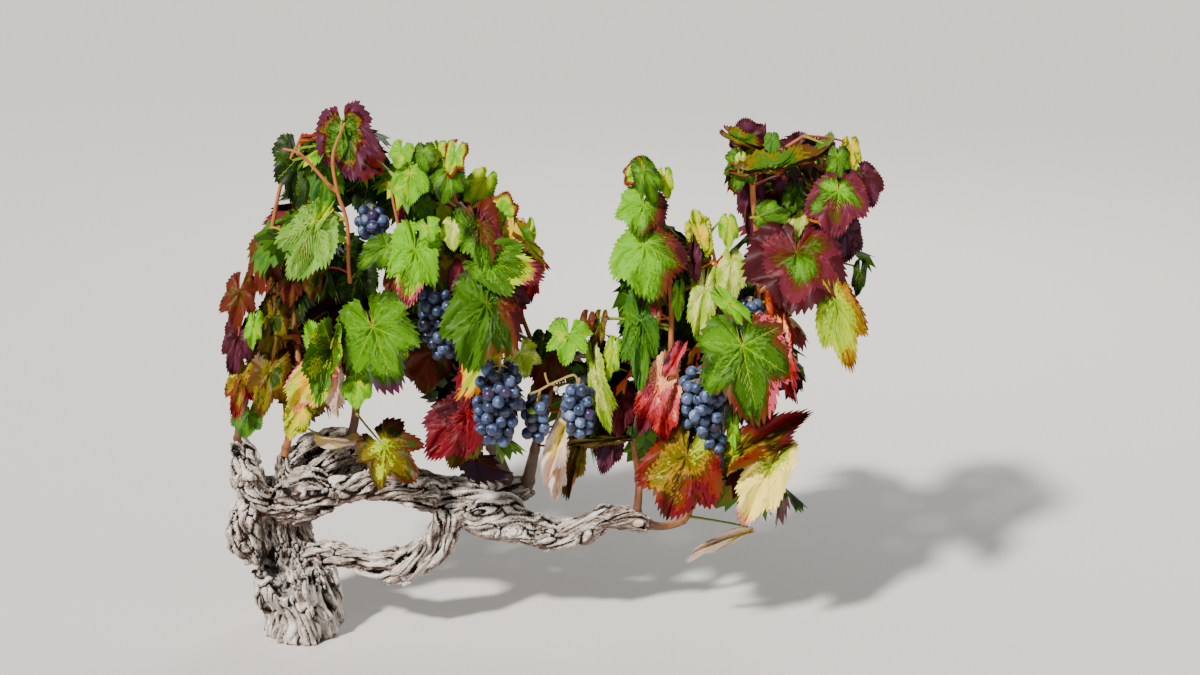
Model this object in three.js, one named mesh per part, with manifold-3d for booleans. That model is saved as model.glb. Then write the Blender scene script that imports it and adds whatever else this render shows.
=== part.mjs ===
// An old, low grapevine: a short gnarled trunk, old arms that sprawl just above the ground,
// this year's canes, and the masses of leaves that the canes carry.
// Millimetres, +Z up. X runs along the vine's arms and -Y is its front.
// The origin is the middle of the flat cut under the trunk, at ground level.

import * as THREE from "three";
import { mergeVertices } from "three/addons/utils/BufferGeometryUtils.js";
import Module from "manifold-3d";

const wasm = await Module();
wasm.setup();

// Clearance between two solids that touch.
const GAP = 0.3;
// Sides of a limb's section, and sections between two stations of its way.
const WOOD_SIDES = 10;
const CANE_SIDES = 6;
const SECTIONS = 3;
// How far old wood swells and pinches, as a share of its radius, in waves round and along the limb.
const GNARL = 0.1;
const GNARL_WAVES = [
  { round: 2, along: 7, share: 1 },
  { round: 3, along: -11, share: 0.6 },
];
// How uneven a mass of leaves is, as a share of its size, in waves that cross it.
const UNEVEN = 0.2;
const MASS_WAVES = [
  { across: new THREE.Vector3(3.1, 2.7, 0), shift: 1, share: 0.6 },
  { across: new THREE.Vector3(2, 0, 4.3), shift: 2, share: 0.4 },
  { across: new THREE.Vector3(-5.4, 4.9, 5.1), shift: 3, share: 0.4 },
];
// How finely a mass's surface is divided.
const MASS_DETAIL = 2;
// The ground's cutting block is larger than the whole vine.
const GROUND_BLOCK = 3000;
// Height and number of the splinters round the top of the split collar.
const SPLINTER = 9;
const SPLINTERS = 5;

// Colours, as the sunlit vine shows them.
const BARK = new THREE.Color("#8f8478");
const DARK_BARK = new THREE.Color("#4f4640");
const CANE = new THREE.Color("#a8623c");
const GREEN = new THREE.Color("#7a9a3c");
const YELLOW = new THREE.Color("#a9a744");
const WINE = new THREE.Color("#6d2431");

// Old wood. A way is the limb's centre line, a few stations of [x, y, z, radius], from its foot to its tip.
const WOOD = [
  {
    name: "trunk",
    colour: DARK_BARK,
    way: [[6, 2, -30, 60], [0, 2, 8, 49], [-8, 8, 48, 36], [-14, 14, 96, 31], [-12, 16, 150, 29]],
  },
  {
    name: "split_collar",
    colour: BARK,
    jagged: true,
    way: [[10, -14, -30, 44], [7, -18, 30, 46], [3, -24, 78, 44]],
  },
  {
    name: "left_head",
    colour: BARK,
    way: [[-34, 2, 160, 20], [-18, -2, 163, 27], [10, -6, 167, 30], [34, -2, 162, 25], [46, 2, 158, 17]],
  },
  {
    name: "left_arm",
    colour: BARK,
    way: [
      [-16, -2, 158, 22], [-38, -12, 172, 23], [-48, -15, 196, 19], [-53, -12, 218, 15], [-62, -8, 238, 8],
    ],
  },
  {
    name: "left_knob",
    colour: BARK,
    way: [[-42, -12, 158, 21], [-49, -14, 136, 25], [-51, -13, 108, 23], [-52, -11, 84, 13]],
  },
  {
    name: "head_spur",
    colour: BARK,
    way: [[-10, -4, 186, 12], [-11, -4, 202, 9], [-6, -4, 222, 6]],
  },
  {
    name: "back_head",
    colour: DARK_BARK,
    way: [[-14, 34, 182, 18], [4, 38, 192, 24], [34, 42, 199, 28], [64, 44, 198, 26], [90, 44, 187, 16]],
  },
  {
    name: "back_arm",
    colour: DARK_BARK,
    way: [[80, 44, 186, 15], [106, 47, 174, 13], [146, 49, 163, 12], [190, 50, 157, 13], [240, 43, 150, 14]],
  },
  {
    name: "upper_arm",
    colour: BARK,
    way: [[34, 2, 163, 18], [78, 4, 174, 18], [124, 1, 177, 20], [172, -8, 167, 23]],
  },
  {
    name: "long_arm",
    colour: BARK,
    way: [[172, -8, 167, 23], [214, -10, 150, 27], [254, -8, 135, 26], [284, -5, 123, 20]],
  },
  {
    name: "arm_end",
    colour: BARK,
    way: [
      [278, -5, 126, 21], [308, -6, 116, 19], [336, -8, 125, 18],
      [364, -8, 138, 16], [392, -8, 138, 14], [416, -8, 131, 11],
    ],
  },
  {
    name: "loop_bend",
    colour: BARK,
    way: [[184, -12, 158, 20], [181, -24, 136, 19], [164, -30, 107, 19], [124, -30, 87, 19]],
  },
  {
    name: "loop_low",
    colour: BARK,
    way: [[128, -30, 88, 19], [94, -27, 89, 18], [60, -18, 97, 15], [30, -4, 92, 14], [4, 8, 84, 14]],
  },
  {
    name: "fruit_spur",
    colour: BARK,
    way: [[232, 43, 150, 14], [252, 38, 157, 17], [270, 34, 158, 15], [280, 32, 160, 9]],
  },
];

// This year's canes, which end where they enter the leaves.
const CANES = [
  { name: "cane_left_arm", way: [[-59, -9, 230, 5], [-54, -6, 262, 5], [-40, 4, 330, 4]] },
  { name: "cane_head_spur", way: [[-7, -4, 216, 4.5], [2, -2, 250, 4.5], [14, 4, 330, 4]] },
  { name: "cane_back_head", way: [[62, 43, 214, 6], [72, 37, 250, 5], [80, 20, 330, 4]] },
  { name: "cane_fruit_left", way: [[252, 36, 162, 8], [240, 34, 194, 8], [229, 28, 232, 7], [222, 10, 290, 5]] },
  { name: "cane_fruit_right", way: [[274, 33, 160, 8], [288, 30, 192, 7], [298, 22, 230, 5], [312, 8, 300, 4]] },
  { name: "cane_arm_tip", way: [[402, -8, 136, 6], [405, -12, 185, 5], [398, -12, 240, 5], [400, -8, 300, 4]] },
  { name: "cane_low_tip", way: [[408, -7, 132, 7], [436, 2, 124, 7], [462, 8, 134, 7], [474, 6, 180, 6]] },
];

// Masses of leaves: middle and half size along X, Y and Z. The turn shifts the waves that make it uneven.
const MASSES = [
  { name: "crown_left_low", colour: WINE, middle: [2, 8, 325], half: [60, 76, 74], turn: 0.4 },
  { name: "crown_left_mid", colour: GREEN, middle: [18, 0, 446], half: [60, 78, 68], turn: 1.7 },
  { name: "crown_left_top", colour: GREEN, middle: [70, 20, 548], half: [60, 80, 72], turn: 2.9 },
  { name: "crown_centre_low", colour: GREEN, middle: [134, -26, 334], half: [80, 78, 76], turn: 3.6 },
  { name: "crown_centre_mid", colour: GREEN, middle: [196, -10, 452], half: [102, 80, 64], turn: 0.9 },
  { name: "crown_centre_top", colour: YELLOW, middle: [168, 14, 530], half: [60, 76, 50], turn: 5.1 },
  { name: "crown_fruit_left", colour: WINE, middle: [220, -36, 290], half: [66, 66, 70], turn: 2.2 },
  { name: "crown_gap_low", colour: YELLOW, middle: [326, 4, 300], half: [58, 64, 76], turn: 4.4 },
  { name: "crown_column", colour: YELLOW, middle: [418, 0, 458], half: [54, 72, 104], turn: 0.2 },
  { name: "crown_right_inner", colour: WINE, middle: [408, -16, 296], half: [56, 72, 84], turn: 3.1 },
  { name: "crown_right_foot", colour: WINE, middle: [496, -34, 206], half: [96, 82, 68], turn: 1.2 },
  { name: "crown_right_mid", colour: GREEN, middle: [532, -26, 334], half: [86, 86, 76], turn: 5.8 },
  { name: "crown_right_high", colour: WINE, middle: [580, 0, 450], half: [76, 86, 74], turn: 2.6 },
  { name: "crown_right_top", colour: GREEN, middle: [574, 30, 550], half: [86, 82, 54], turn: 4.0 },
  { name: "crown_back_left", colour: GREEN, middle: [20, 126, 392], half: [80, 74, 120], turn: 1.0 },
  { name: "crown_back_centre", colour: YELLOW, middle: [176, 118, 376], half: [86, 74, 124], turn: 3.9 },
  { name: "crown_back_right", colour: GREEN, middle: [508, 118, 330], half: [92, 82, 118], turn: 5.4 },
];

// A closed geometry as an exact solid.
function solidOf(geometry) {
  const bare = geometry.clone();
  bare.deleteAttribute("normal");
  bare.deleteAttribute("uv");
  const merged = mergeVertices(bare, 1e-4);
  return new wasm.Manifold(
    new wasm.Mesh({
      numProp: 3,
      vertProperties: new Float32Array(merged.attributes.position.array),
      triVerts: new Uint32Array(merged.index.array),
    }),
  );
}

// Unit directions across a curve at evenly spaced stations, carried along it without twist.
function framesAlong(curve, count) {
  const frames = [];
  let side = new THREE.Vector3(0, 1, 0);
  for (let i = 0; i <= count; i++) {
    const along = curve.getTangent(i / count);
    side = side.clone().addScaledVector(along, -side.dot(along));
    if (side.lengthSq() < 1e-6) side.set(1, 0, 0).addScaledVector(along, -along.x);
    side.normalize();
    frames.push({ along, side, across: new THREE.Vector3().crossVectors(side, along) });
  }
  return frames;
}

// A tapering limb along its way. A limb that is grown is that much larger all over.
function limbSolid({ way, jagged, sides = WOOD_SIDES, gnarl = GNARL }, grown) {
  const curve = new THREE.CatmullRomCurve3(way.map(([x, y, z]) => new THREE.Vector3(x, y, z)));
  const radii = new THREE.SplineCurve(way.map(([, , , r], i) => new THREE.Vector2(i, r)));
  const count = (way.length - 1) * SECTIONS;
  const frames = framesAlong(curve, count);
  const geometry = new THREE.CylinderGeometry(1, 1, 1, sides, count);
  const places = geometry.attributes.position;
  for (let i = 0; i < places.count; i++) {
    const local = new THREE.Vector3().fromBufferAttribute(places, i);
    const t = local.y + 0.5;
    const { along, side, across } = frames[Math.round(t * count)];
    const turn = Math.atan2(local.z, local.x);
    const swell = GNARL_WAVES.reduce((sum, w) => sum + w.share * Math.sin(w.round * turn + w.along * t), 0);
    const reach = Math.hypot(local.x, local.z) * (radii.getPoint(t).y * (1 + gnarl * swell) + grown);
    const end = t === 0 ? -grown : t === 1 ? grown : 0;
    const splinter = jagged && t === 1 ? SPLINTER * Math.sin(SPLINTERS * turn) * Math.min(1, reach) : 0;
    const place = curve
      .getPoint(t)
      .addScaledVector(side, reach * Math.cos(turn))
      .addScaledVector(across, reach * Math.sin(turn))
      .addScaledVector(along, end + splinter);
    places.setXYZ(i, place.x, place.y, place.z);
  }
  return solidOf(geometry);
}

// A closed, uneven mass of leaves.
function massSolid({ middle, half, turn }, grown) {
  const geometry = new THREE.IcosahedronGeometry(1, MASS_DETAIL);
  const places = geometry.attributes.position;
  for (let i = 0; i < places.count; i++) {
    const d = new THREE.Vector3().fromBufferAttribute(places, i).normalize();
    const wave = MASS_WAVES.reduce((sum, w) => sum + w.share * Math.sin(w.across.dot(d) + w.shift * turn), 0);
    const size = 1 + UNEVEN * wave;
    places.setXYZ(
      i,
      middle[0] + d.x * (half[0] * size + grown),
      middle[1] + d.y * (half[1] * size + grown),
      middle[2] + d.z * (half[2] * size + grown),
    );
  }
  return solidOf(geometry);
}

// What is left of a solid once the ground and the solids before it are taken away: its largest piece.
function cutBack(solid, earlier) {
  let left = solid;
  for (const other of earlier) left = left.subtract(other);
  return left.decompose().reduce((a, b) => (a.volume() > b.volume() ? a : b));
}

function meshOf(name, solid, colour, anchor) {
  const { vertProperties, triVerts } = solid.getMesh();
  const geometry = new THREE.BufferGeometry();
  geometry.setAttribute("position", new THREE.BufferAttribute(new Float32Array(vertProperties), 3));
  geometry.setIndex(new THREE.BufferAttribute(new Uint32Array(triVerts), 1));
  geometry.translate(-anchor[0], -anchor[1], -anchor[2]);
  geometry.computeVertexNormals();
  const material = new THREE.MeshStandardMaterial({ color: colour, roughness: 0.8, metalness: 0 });
  const mesh = new THREE.Mesh(geometry, material);
  mesh.name = name;
  mesh.position.set(...anchor);
  return mesh;
}

const ground = solidOf(
  new THREE.BoxGeometry(GROUND_BLOCK, GROUND_BLOCK, GROUND_BLOCK).translate(0, 0, -GROUND_BLOCK / 2),
);
const taken = [ground];

// Adds each piece to a group, cut back from the pieces before it.
function addPieces(group, pieces, make, anchorOf) {
  for (const piece of pieces) {
    const left = cutBack(make(piece, 0), taken);
    group.add(meshOf(piece.name, left, piece.colour, anchorOf(piece)));
    taken.push(make(piece, GAP));
  }
  return group;
}

const canes = CANES.map((cane) => ({ ...cane, colour: CANE, sides: CANE_SIDES, gnarl: 0 }));
const footOf = ({ way }) => way[1].slice(0, 3);
const grapevine = new THREE.Group();
grapevine.name = "grapevine";
grapevine.add(
  addPieces(new THREE.Group(), WOOD, limbSolid, footOf),
  addPieces(new THREE.Group(), MASSES, massSolid, ({ middle }) => middle),
  addPieces(new THREE.Group(), canes, limbSolid, footOf),
);

export default grapevine;
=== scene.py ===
"""Looks of an old, low grapevine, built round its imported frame.

The frame's wood becomes two meshes with bark relief, its canes grow on as shoots, and its masses become
leaves, leaf stalks and bunches of grapes. Lengths are in millimetres, and in metres where a mesh is made.
"""

import sys

import logging
import math
from collections.abc import Callable
from dataclasses import dataclass, field
from enum import Enum
from functools import cached_property

import bpy
import numpy as np
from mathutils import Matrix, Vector, noise
from mathutils.bvhtree import BVHTree

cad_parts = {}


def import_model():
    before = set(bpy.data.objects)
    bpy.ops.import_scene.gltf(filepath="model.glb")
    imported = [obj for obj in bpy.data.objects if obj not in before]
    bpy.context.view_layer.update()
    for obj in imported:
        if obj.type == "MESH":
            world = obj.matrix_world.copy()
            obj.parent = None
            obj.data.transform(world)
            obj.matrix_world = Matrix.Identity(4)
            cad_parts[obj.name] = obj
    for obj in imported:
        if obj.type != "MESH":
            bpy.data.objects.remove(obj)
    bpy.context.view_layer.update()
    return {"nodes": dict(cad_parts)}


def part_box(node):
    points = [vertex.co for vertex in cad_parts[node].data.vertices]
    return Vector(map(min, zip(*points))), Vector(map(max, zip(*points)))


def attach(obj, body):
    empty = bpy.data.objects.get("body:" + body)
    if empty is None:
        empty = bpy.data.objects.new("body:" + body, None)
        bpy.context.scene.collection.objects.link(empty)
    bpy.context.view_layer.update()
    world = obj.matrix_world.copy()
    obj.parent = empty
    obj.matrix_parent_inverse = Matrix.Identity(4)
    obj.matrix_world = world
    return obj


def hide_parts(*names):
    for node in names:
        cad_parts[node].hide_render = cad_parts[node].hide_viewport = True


Array = np.ndarray
Piece = bpy.types.Object
Socket = bpy.types.NodeSocket
Pair = tuple[float, float]
Triple = tuple[float, float, float]
Way = tuple[tuple[float, float, float, float], ...]
LOG = logging.getLogger("grapevine")
MM = 0.001
UP = np.array([0.0, 0.0, 1.0])


class Tone(Enum):
    """Plain colours of leaves, stalks and fruit, as 0 to 255 red, green and blue."""

    FRESH = (156, 200, 64)
    LIGHT = (132, 170, 48)
    LEAF = (112, 144, 44)
    MID = (88, 112, 40)
    DEEP = (68, 88, 34)
    SHADE = (48, 62, 26)
    TEAL = (104, 140, 86)
    PALE_GREEN = (184, 204, 110)
    WHITISH = (220, 224, 160)
    UNDER = (120, 156, 80)
    UNDER_PALE = (162, 194, 120)
    LIME = (200, 214, 76)
    YELLOW = (234, 208, 64)
    GOLD = (236, 178, 60)
    CREAM = (252, 240, 172)
    PEACH = (244, 202, 168)
    TAN = (234, 218, 206)
    DRY = (220, 196, 184)
    ORANGE = (214, 122, 56)
    AMBER = (184, 156, 62)
    BROWN = (124, 84, 60)
    RUST = (158, 80, 50)
    OLIVE = (152, 142, 58)
    OLIVE_BROWN = (128, 104, 58)
    PINK = (206, 124, 136)
    CORAL = (196, 92, 86)
    CRIMSON = (146, 44, 68)
    RED = (138, 54, 62)
    RED_BROWN = (134, 80, 62)
    WINE = (144, 80, 92)
    WINE_DEEP = (108, 56, 64)
    PURPLE = (124, 78, 98)
    PURPLE_GREY = (114, 92, 108)
    PURPLE_BROWN = (90, 58, 64)
    # The darkest berry tone: rubbed skin, and the painted shade on berries' far sides.
    BERRY_NIGHT = (30, 34, 52)
    BERRY_BLUE = (60, 74, 106)
    BERRY_DUSTY = (104, 120, 154)
    # The palest berry tone: the bloom, and the painted highlight on berries' lit sides.
    BERRY_BLOOM = (156, 170, 196)
    BERRY_PURPLE = (78, 62, 102)
    BERRY_UNRIPE = (150, 176, 90)
    STALK_GREEN = (160, 170, 84)
    STALK_TAN = (190, 168, 112)
    STALK_ORANGE = (200, 120, 62)
    STALK_RED = (164, 64, 52)
    SHOOT_BROWN = (138, 78, 46)


TONES = list(Tone)
INDEX = {tone: number for number, tone in enumerate(TONES)}
FIRST_BERRY = INDEX[Tone.BERRY_NIGHT]
FIRST_STALK = INDEX[Tone.STALK_GREEN]


def linear(colour: Triple) -> tuple[float, float, float, float]:
    """Turn 0 to 255 screen colour into the shader's linear colour.

    Args:
        colour: red, green and blue, each 0 to 255.

    Returns:
        Linear red, green, blue and a full alpha.
    """
    parts = [c / 255.0 for c in colour]
    parts = [p / 12.92 if p <= 0.04045 else ((p + 0.055) / 1.055) ** 2.4 for p in parts]
    return (parts[0], parts[1], parts[2], 1.0)


def tone_numbers(names: str) -> Array:
    """Return the numbers of the tones that a text names, with spaces between the names."""
    return np.array([INDEX[Tone[name]] for name in names.split()])


def unit(vector: Array) -> Array:
    """Return a vector, or each row of an array of vectors, at length one."""
    length = np.linalg.norm(vector, axis=-1, keepdims=True)
    return vector / np.maximum(length, 1e-9)


def smooth_way(points: list | Array, step: float) -> Array:
    """Draw a smooth curve through points that may carry a radius as a fourth number.

    Args:
        points: three or four numbers a point.
        step: distance between the points of the result.

    Returns:
        The curve's points, with as many numbers each as came in.
    """
    keys = np.asarray(points, float)
    if len(keys) == 2:
        keys = np.array([keys[0], (keys[0] + keys[1]) / 2, keys[1]])
    ends = np.vstack([2 * keys[0] - keys[1], keys, 2 * keys[-1] - keys[-2]])
    rows = []
    for i in range(1, len(ends) - 2):
        a, b, c, d = ends[i - 1 : i + 3]
        count = max(2, int(math.ceil(np.linalg.norm((c - b)[:3]) / step)))
        for t in np.arange(count) / count:
            rows.append(0.5 * (2 * b + (c - a) * t + (2 * a - 5 * b + 4 * c - d) * t**2
                               + (3 * b - a - 3 * c + d) * t**3))
    rows.append(keys[-1])
    return np.array(rows)


def run_along(way: Array) -> Array:
    """Return how far along a line each of its points lies."""
    return np.concatenate([[0], np.cumsum(np.linalg.norm(np.diff(way, axis=0), axis=1))])


def way_frames(way: Array) -> tuple[Array, Array, Array]:
    """Carry a frame along a curve without twisting it.

    Args:
        way: the curve's points.

    Returns:
        The direction, side and across vectors at each point.
    """
    steep = 0.8
    along = unit(np.gradient(way[:, :3], axis=0))
    start = np.array([0.0, 1.0, 0.0]) if abs(along[0, 1]) < steep else np.array([1.0, 0.0, 0.0])
    side = np.empty_like(along)
    for i, direction in enumerate(along):
        start = unit(start - direction * (start @ direction))
        side[i] = start
    return along, side, np.cross(along, side)


@dataclass(frozen=True)
class PhotoCamera:
    """The photograph's camera, which also turns its pixels into places on the vine."""

    width_px: float = 1200.0
    height_px: float = 675.0
    focal_px: float = 1835.0
    sensor_width: float = 36.0
    pitch: float = math.radians(18.0)
    foot_px: Pair = (300.0, 622.0)
    foot_distance: float = 2200.0
    near_clip: float = 0.05

    def place(self) -> Array:
        """Work out where the camera is from the trunk's foot and its pixel.

        Returns:
            The camera's place.
        """
        right = (self.foot_px[0] - self.width_px / 2) * self.foot_distance / self.focal_px
        rise = (self.height_px / 2 - self.foot_px[1]) * self.foot_distance / self.focal_px
        sine, cosine = math.sin(self.pitch), math.cos(self.pitch)
        return np.array([-right, -(rise * sine + self.foot_distance * cosine),
                         -(rise * cosine - self.foot_distance * sine)])

    def at(self, pixel: Pair, depth: float) -> Array:
        """Find the place that a pixel shows at a depth.

        Args:
            pixel: the pixel's column and row.
            depth: the place's Y.

        Returns:
            The place.
        """
        eye = self.place()
        right = (pixel[0] - self.width_px / 2) / self.focal_px
        rise = (self.height_px / 2 - pixel[1]) / self.focal_px
        ray = np.array([right, rise * math.sin(self.pitch) + math.cos(self.pitch),
                        rise * math.cos(self.pitch) - math.sin(self.pitch)])
        return eye + ray * (depth - eye[1]) / ray[1]

    def seen(self, points: Array) -> Array:
        """Find the pixels at which places show.

        Args:
            points: one place, or a row for each.

        Returns:
            A column and a row for each place.
        """
        offset = np.atleast_2d(points) - self.place()
        sine, cosine = math.sin(self.pitch), math.cos(self.pitch)
        depth = offset[:, 1] * cosine - offset[:, 2] * sine
        rise = offset[:, 1] * sine + offset[:, 2] * cosine
        return np.column_stack([self.width_px / 2 + self.focal_px * offset[:, 0] / depth,
                                self.height_px / 2 - self.focal_px * rise / depth])

    def towards(self) -> Array:
        """Return the direction from the vine to the camera."""
        return np.array([0.0, -math.cos(self.pitch), math.sin(self.pitch)])

    def build(self) -> None:
        """Add the camera and make it the scene's."""
        camera = bpy.data.cameras.new("camera")
        camera.sensor_width = self.sensor_width
        camera.lens = self.sensor_width * self.focal_px / self.width_px
        camera.clip_start = self.near_clip
        holder = bpy.data.objects.new("camera", camera)
        holder.location = Vector(self.place() * MM)
        holder.rotation_euler = (math.pi / 2 - self.pitch, 0, 0)
        bpy.context.collection.objects.link(holder)
        bpy.context.scene.camera = holder


CAMERA = PhotoCamera()


class Value:
    """A node's number output, on which Python's operators add Math nodes."""

    def __init__(self, finish: "Finish", socket: Socket) -> None:
        """Keep the output and the finish that it belongs to."""
        self.finish = finish
        self.socket = socket

    def _math(self, operation: str, *values: "Value | float") -> "Value":
        """Add one Math node and return its output."""
        node = self.finish.add("ShaderNodeMath", {"operation": operation}, *values)
        return Value(self.finish, node.outputs[0])

    def __add__(self, other: "Value | float") -> "Value":
        """Return self + other."""
        return self._math("ADD", self, other)

    def __sub__(self, other: "Value | float") -> "Value":
        """Return self - other."""
        return self._math("SUBTRACT", self, other)

    def __mul__(self, other: "Value | float") -> "Value":
        """Return self * other."""
        return self._math("MULTIPLY", self, other)

    def __rsub__(self, other: float) -> "Value":
        """Return other - self."""
        return self._math("SUBTRACT", other, self)

    def limited(self) -> "Value":
        """Return self held between 0 and 1."""
        node = self.finish.add("ShaderNodeClamp", {}, self)
        return Value(self.finish, node.outputs[0])


class Finish:
    """A material with one Principled shader, and the one method that adds any other node."""

    ROUGH = 0.6

    def __init__(self, name: str) -> None:
        """Start the material.

        Args:
            name: the material's name.
        """
        self.material = bpy.data.materials.new(name)
        self.material.use_nodes = True
        self.tree = self.material.node_tree
        self.shader = self.tree.nodes["Principled BSDF"]

    def add(self, kind: str, settings: dict[str, object], *values: object) -> bpy.types.Node:
        """Add a node.

        Args:
            kind: the node's type.
            settings: the node's own settings.
            values: numbers, colours, outputs or Values for its inputs, in order; None leaves an input alone.

        Returns:
            The node.
        """
        node = self.tree.nodes.new(kind)
        for name, setting in settings.items():
            setattr(node, name, setting)
        inputs = [i for i in node.inputs if i.enabled]
        for socket, value in zip(inputs, values):
            self.join(socket, value)
        return node

    def join(self, socket: Socket, value: object) -> None:
        """Give an input a link or a plain value.

        Args:
            socket: the input.
            value: an output or a Value to link, a plain value, or None to leave the input alone.
        """
        if value is None:
            return
        if isinstance(value, Value):
            value = value.socket
        if isinstance(value, Socket):
            self.tree.links.new(value, socket)
        else:
            socket.default_value = value

    def mark(self, name: str) -> Value:
        """Read a number that the mesh carries at each point."""
        return Value(self, self.add("ShaderNodeAttribute", {"attribute_name": name}).outputs["Fac"])

    def grain(self, squeeze: float) -> Socket:
        """Read each point's place along and across the grain, squeezed lengthways."""
        place = self.add("ShaderNodeAttribute", {"attribute_name": "grain"}).outputs["Vector"]
        return self.add("ShaderNodeVectorMath", {"operation": "MULTIPLY"}, place, (squeeze, 1, 1)).outputs[0]

    def ramp(self, height: Value, *stops: tuple[float, Triple]) -> Socket:
        """Turn a height into a colour.

        Args:
            height: the height.
            stops: heights from 0 to 1 with their colours, in rising order.

        Returns:
            The colour.
        """
        node = self.add("ShaderNodeValToRGB", {}, height)
        while len(node.color_ramp.elements) < len(stops):
            node.color_ramp.elements.new(0.5)
        for element, (position, colour) in zip(node.color_ramp.elements, stops):
            element.position = position
            element.color = linear(colour)
        return node.outputs[0]

    def streaks(self, place: Socket, scale: float, detail: float) -> Value:
        """Make noise at a place, and return its height."""
        node = self.add("ShaderNodeTexNoise", {"noise_dimensions": "3D"}, place, scale, detail, self.ROUGH)
        return Value(self, node.outputs[0])

    def mix(self, amount: "Value | float", first: object, second: object) -> Socket:
        """Mix two colours, and return the colour."""
        node = self.add("ShaderNodeMix", {"data_type": "RGBA"}, amount, first, second)
        return node.outputs[2]

    def bump(self, height: Value, strength: float, distance: float) -> None:
        """Give the shader a bumpy normal.

        Args:
            height: the bumps' height.
            strength: how much of it shows, from 0 to 1.
            distance: how high a height of 1 stands, in metres.
        """
        node = self.tree.nodes.new("ShaderNodeBump")
        node.inputs["Strength"].default_value = strength
        node.inputs["Distance"].default_value = distance
        self.join(node.inputs["Height"], height)
        self.join(self.shader.inputs["Normal"], node.outputs["Normal"])

    def constants(self, **sockets: object) -> None:
        """Set the shader's plain inputs, with underscores for the spaces in their names."""
        for name, value in sockets.items():
            self.shader.inputs[name.replace("_", " ")].default_value = value


@dataclass
class TonePalette:
    """One plain material for each tone, made when first worn, and deeper than the tone looks in light."""

    deepen: float = 1.3
    deepen_leaf: float = 1.62
    enrich: float = 1.1
    eye: Triple = (0.21, 0.72, 0.07)
    darkest: float = 0.002
    made: dict[int, bpy.types.Material] = field(default_factory=dict)

    def material(self, number: int) -> bpy.types.Material:
        """Return a tone's material.

        Args:
            number: the tone's place in TONES.

        Returns:
            The material.
        """
        if number not in self.made:
            finish = Finish("tone_" + TONES[number].name.lower())
            deepen = self.deepen_leaf if number < FIRST_BERRY else self.deepen
            colour = [part**deepen for part in linear(TONES[number].value)[:3]]
            grey = sum(part * weight for part, weight in zip(colour, self.eye))
            colour = [min(1.0, max(self.darkest, grey + (part - grey) * self.enrich)) for part in colour]
            finish.constants(Base_Color=(*colour, 1.0))
            if number >= FIRST_STALK:
                finish.constants(Roughness=0.5, Specular_IOR_Level=0.4)
            elif number >= FIRST_BERRY:
                finish.constants(Roughness=0.34, Specular_IOR_Level=0.5)
                finish.constants(Sheen_Weight=0.14, Sheen_Roughness=0.5)
            else:
                finish.constants(Roughness=0.48, Specular_IOR_Level=0.16)
            self.made[number] = finish.material
        return self.made[number]


PALETTE = TonePalette()


class MeshBuffer:
    """Points, triangles and tones that gather into one joined mesh."""

    def __init__(self) -> None:
        """Start empty."""
        self.points: list[Array] = []
        self.faces: list[Array] = []
        self.tones: list[Array] = []
        self.count = 0

    def add(self, points: Array, faces: Array, tones: Array | Tone) -> None:
        """Add one shape.

        Args:
            points: places in millimetres.
            faces: three point numbers a triangle.
            tones: one tone, or a tone number for each triangle.
        """
        if isinstance(tones, Tone):
            tones = np.full(len(faces), INDEX[tones])
        self.points.append(points)
        self.faces.append(faces + self.count)
        self.tones.append(tones)
        self.count += len(points)

    def build(self, name: str, angle: float = 50.0) -> Piece:
        """Make the mesh object.

        Args:
            name: the piece's name.
            angle: the angle in degrees up to which edges are smooth.

        Returns:
            The piece, at the origin.
        """
        points = np.vstack(self.points) * MM
        faces = np.vstack(self.faces)
        tones = np.concatenate(self.tones)
        mesh = bpy.data.meshes.new(name)
        mesh.vertices.add(len(points))
        mesh.vertices.foreach_set("co", points.astype(np.float32).ravel())
        mesh.loops.add(faces.size)
        mesh.loops.foreach_set("vertex_index", faces.astype(np.int32).ravel())
        mesh.polygons.add(len(faces))
        mesh.polygons.foreach_set("loop_start", np.arange(0, faces.size, 3, dtype=np.int32))
        worn, slots = np.unique(tones, return_inverse=True)
        for number in worn:
            mesh.materials.append(PALETTE.material(int(number)))
        mesh.polygons.foreach_set("material_index", slots.astype(np.int32))
        mesh.update(calc_edges=True)
        mesh.validate()
        piece = bpy.data.objects.new(name, mesh)
        bpy.context.collection.objects.link(piece)
        only(piece)
        bpy.ops.object.shade_smooth_by_angle(angle=math.radians(angle))
        LOG.info("%s: %d triangles", name, len(faces))
        return piece


def wear(piece: Piece, material: bpy.types.Material, marks: dict[str, Array]) -> None:
    """Give a piece one material, and the point attributes that it reads.

    Args:
        piece: the piece.
        material: what it wears all over.
        marks: a number or a vector for each point, by the attribute's name.
    """
    mesh = piece.data
    for name, values in marks.items():
        kind, field_name = ("FLOAT", "value") if values.ndim == 1 else ("FLOAT_VECTOR", "vector")
        attribute = mesh.attributes.new(name, kind, "POINT")
        attribute.data.foreach_set(field_name, values.astype(np.float32).ravel())
    mesh.materials.clear()
    mesh.materials.append(material)
    mesh.polygons.foreach_set("material_index", np.zeros(len(mesh.polygons), np.int32))
    mesh.update()


def only(*pieces: Piece) -> None:
    """Select just these objects, with the first one active.

    Args:
        pieces: the objects.
    """
    bpy.ops.object.select_all(action="DESELECT")
    for piece in pieces:
        piece.select_set(True)
    bpy.context.view_layer.objects.active = pieces[0]


def bands(count: int, sides: int) -> list[Array]:
    """List the triangles between the rings of a tube.

    Args:
        count: how many rings it has.
        sides: how many points each ring has.

    Returns:
        Three point numbers a triangle, in two arrays for each two rings.
    """
    ring = np.arange(sides)
    following = (ring + 1) % sides
    rows = []
    for low in range(0, (count - 1) * sides, sides):
        high = low + sides
        rows.append(np.column_stack([low + ring, low + following, high + following]))
        rows.append(np.column_stack([low + ring, high + following, high + ring]))
    return rows


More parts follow.
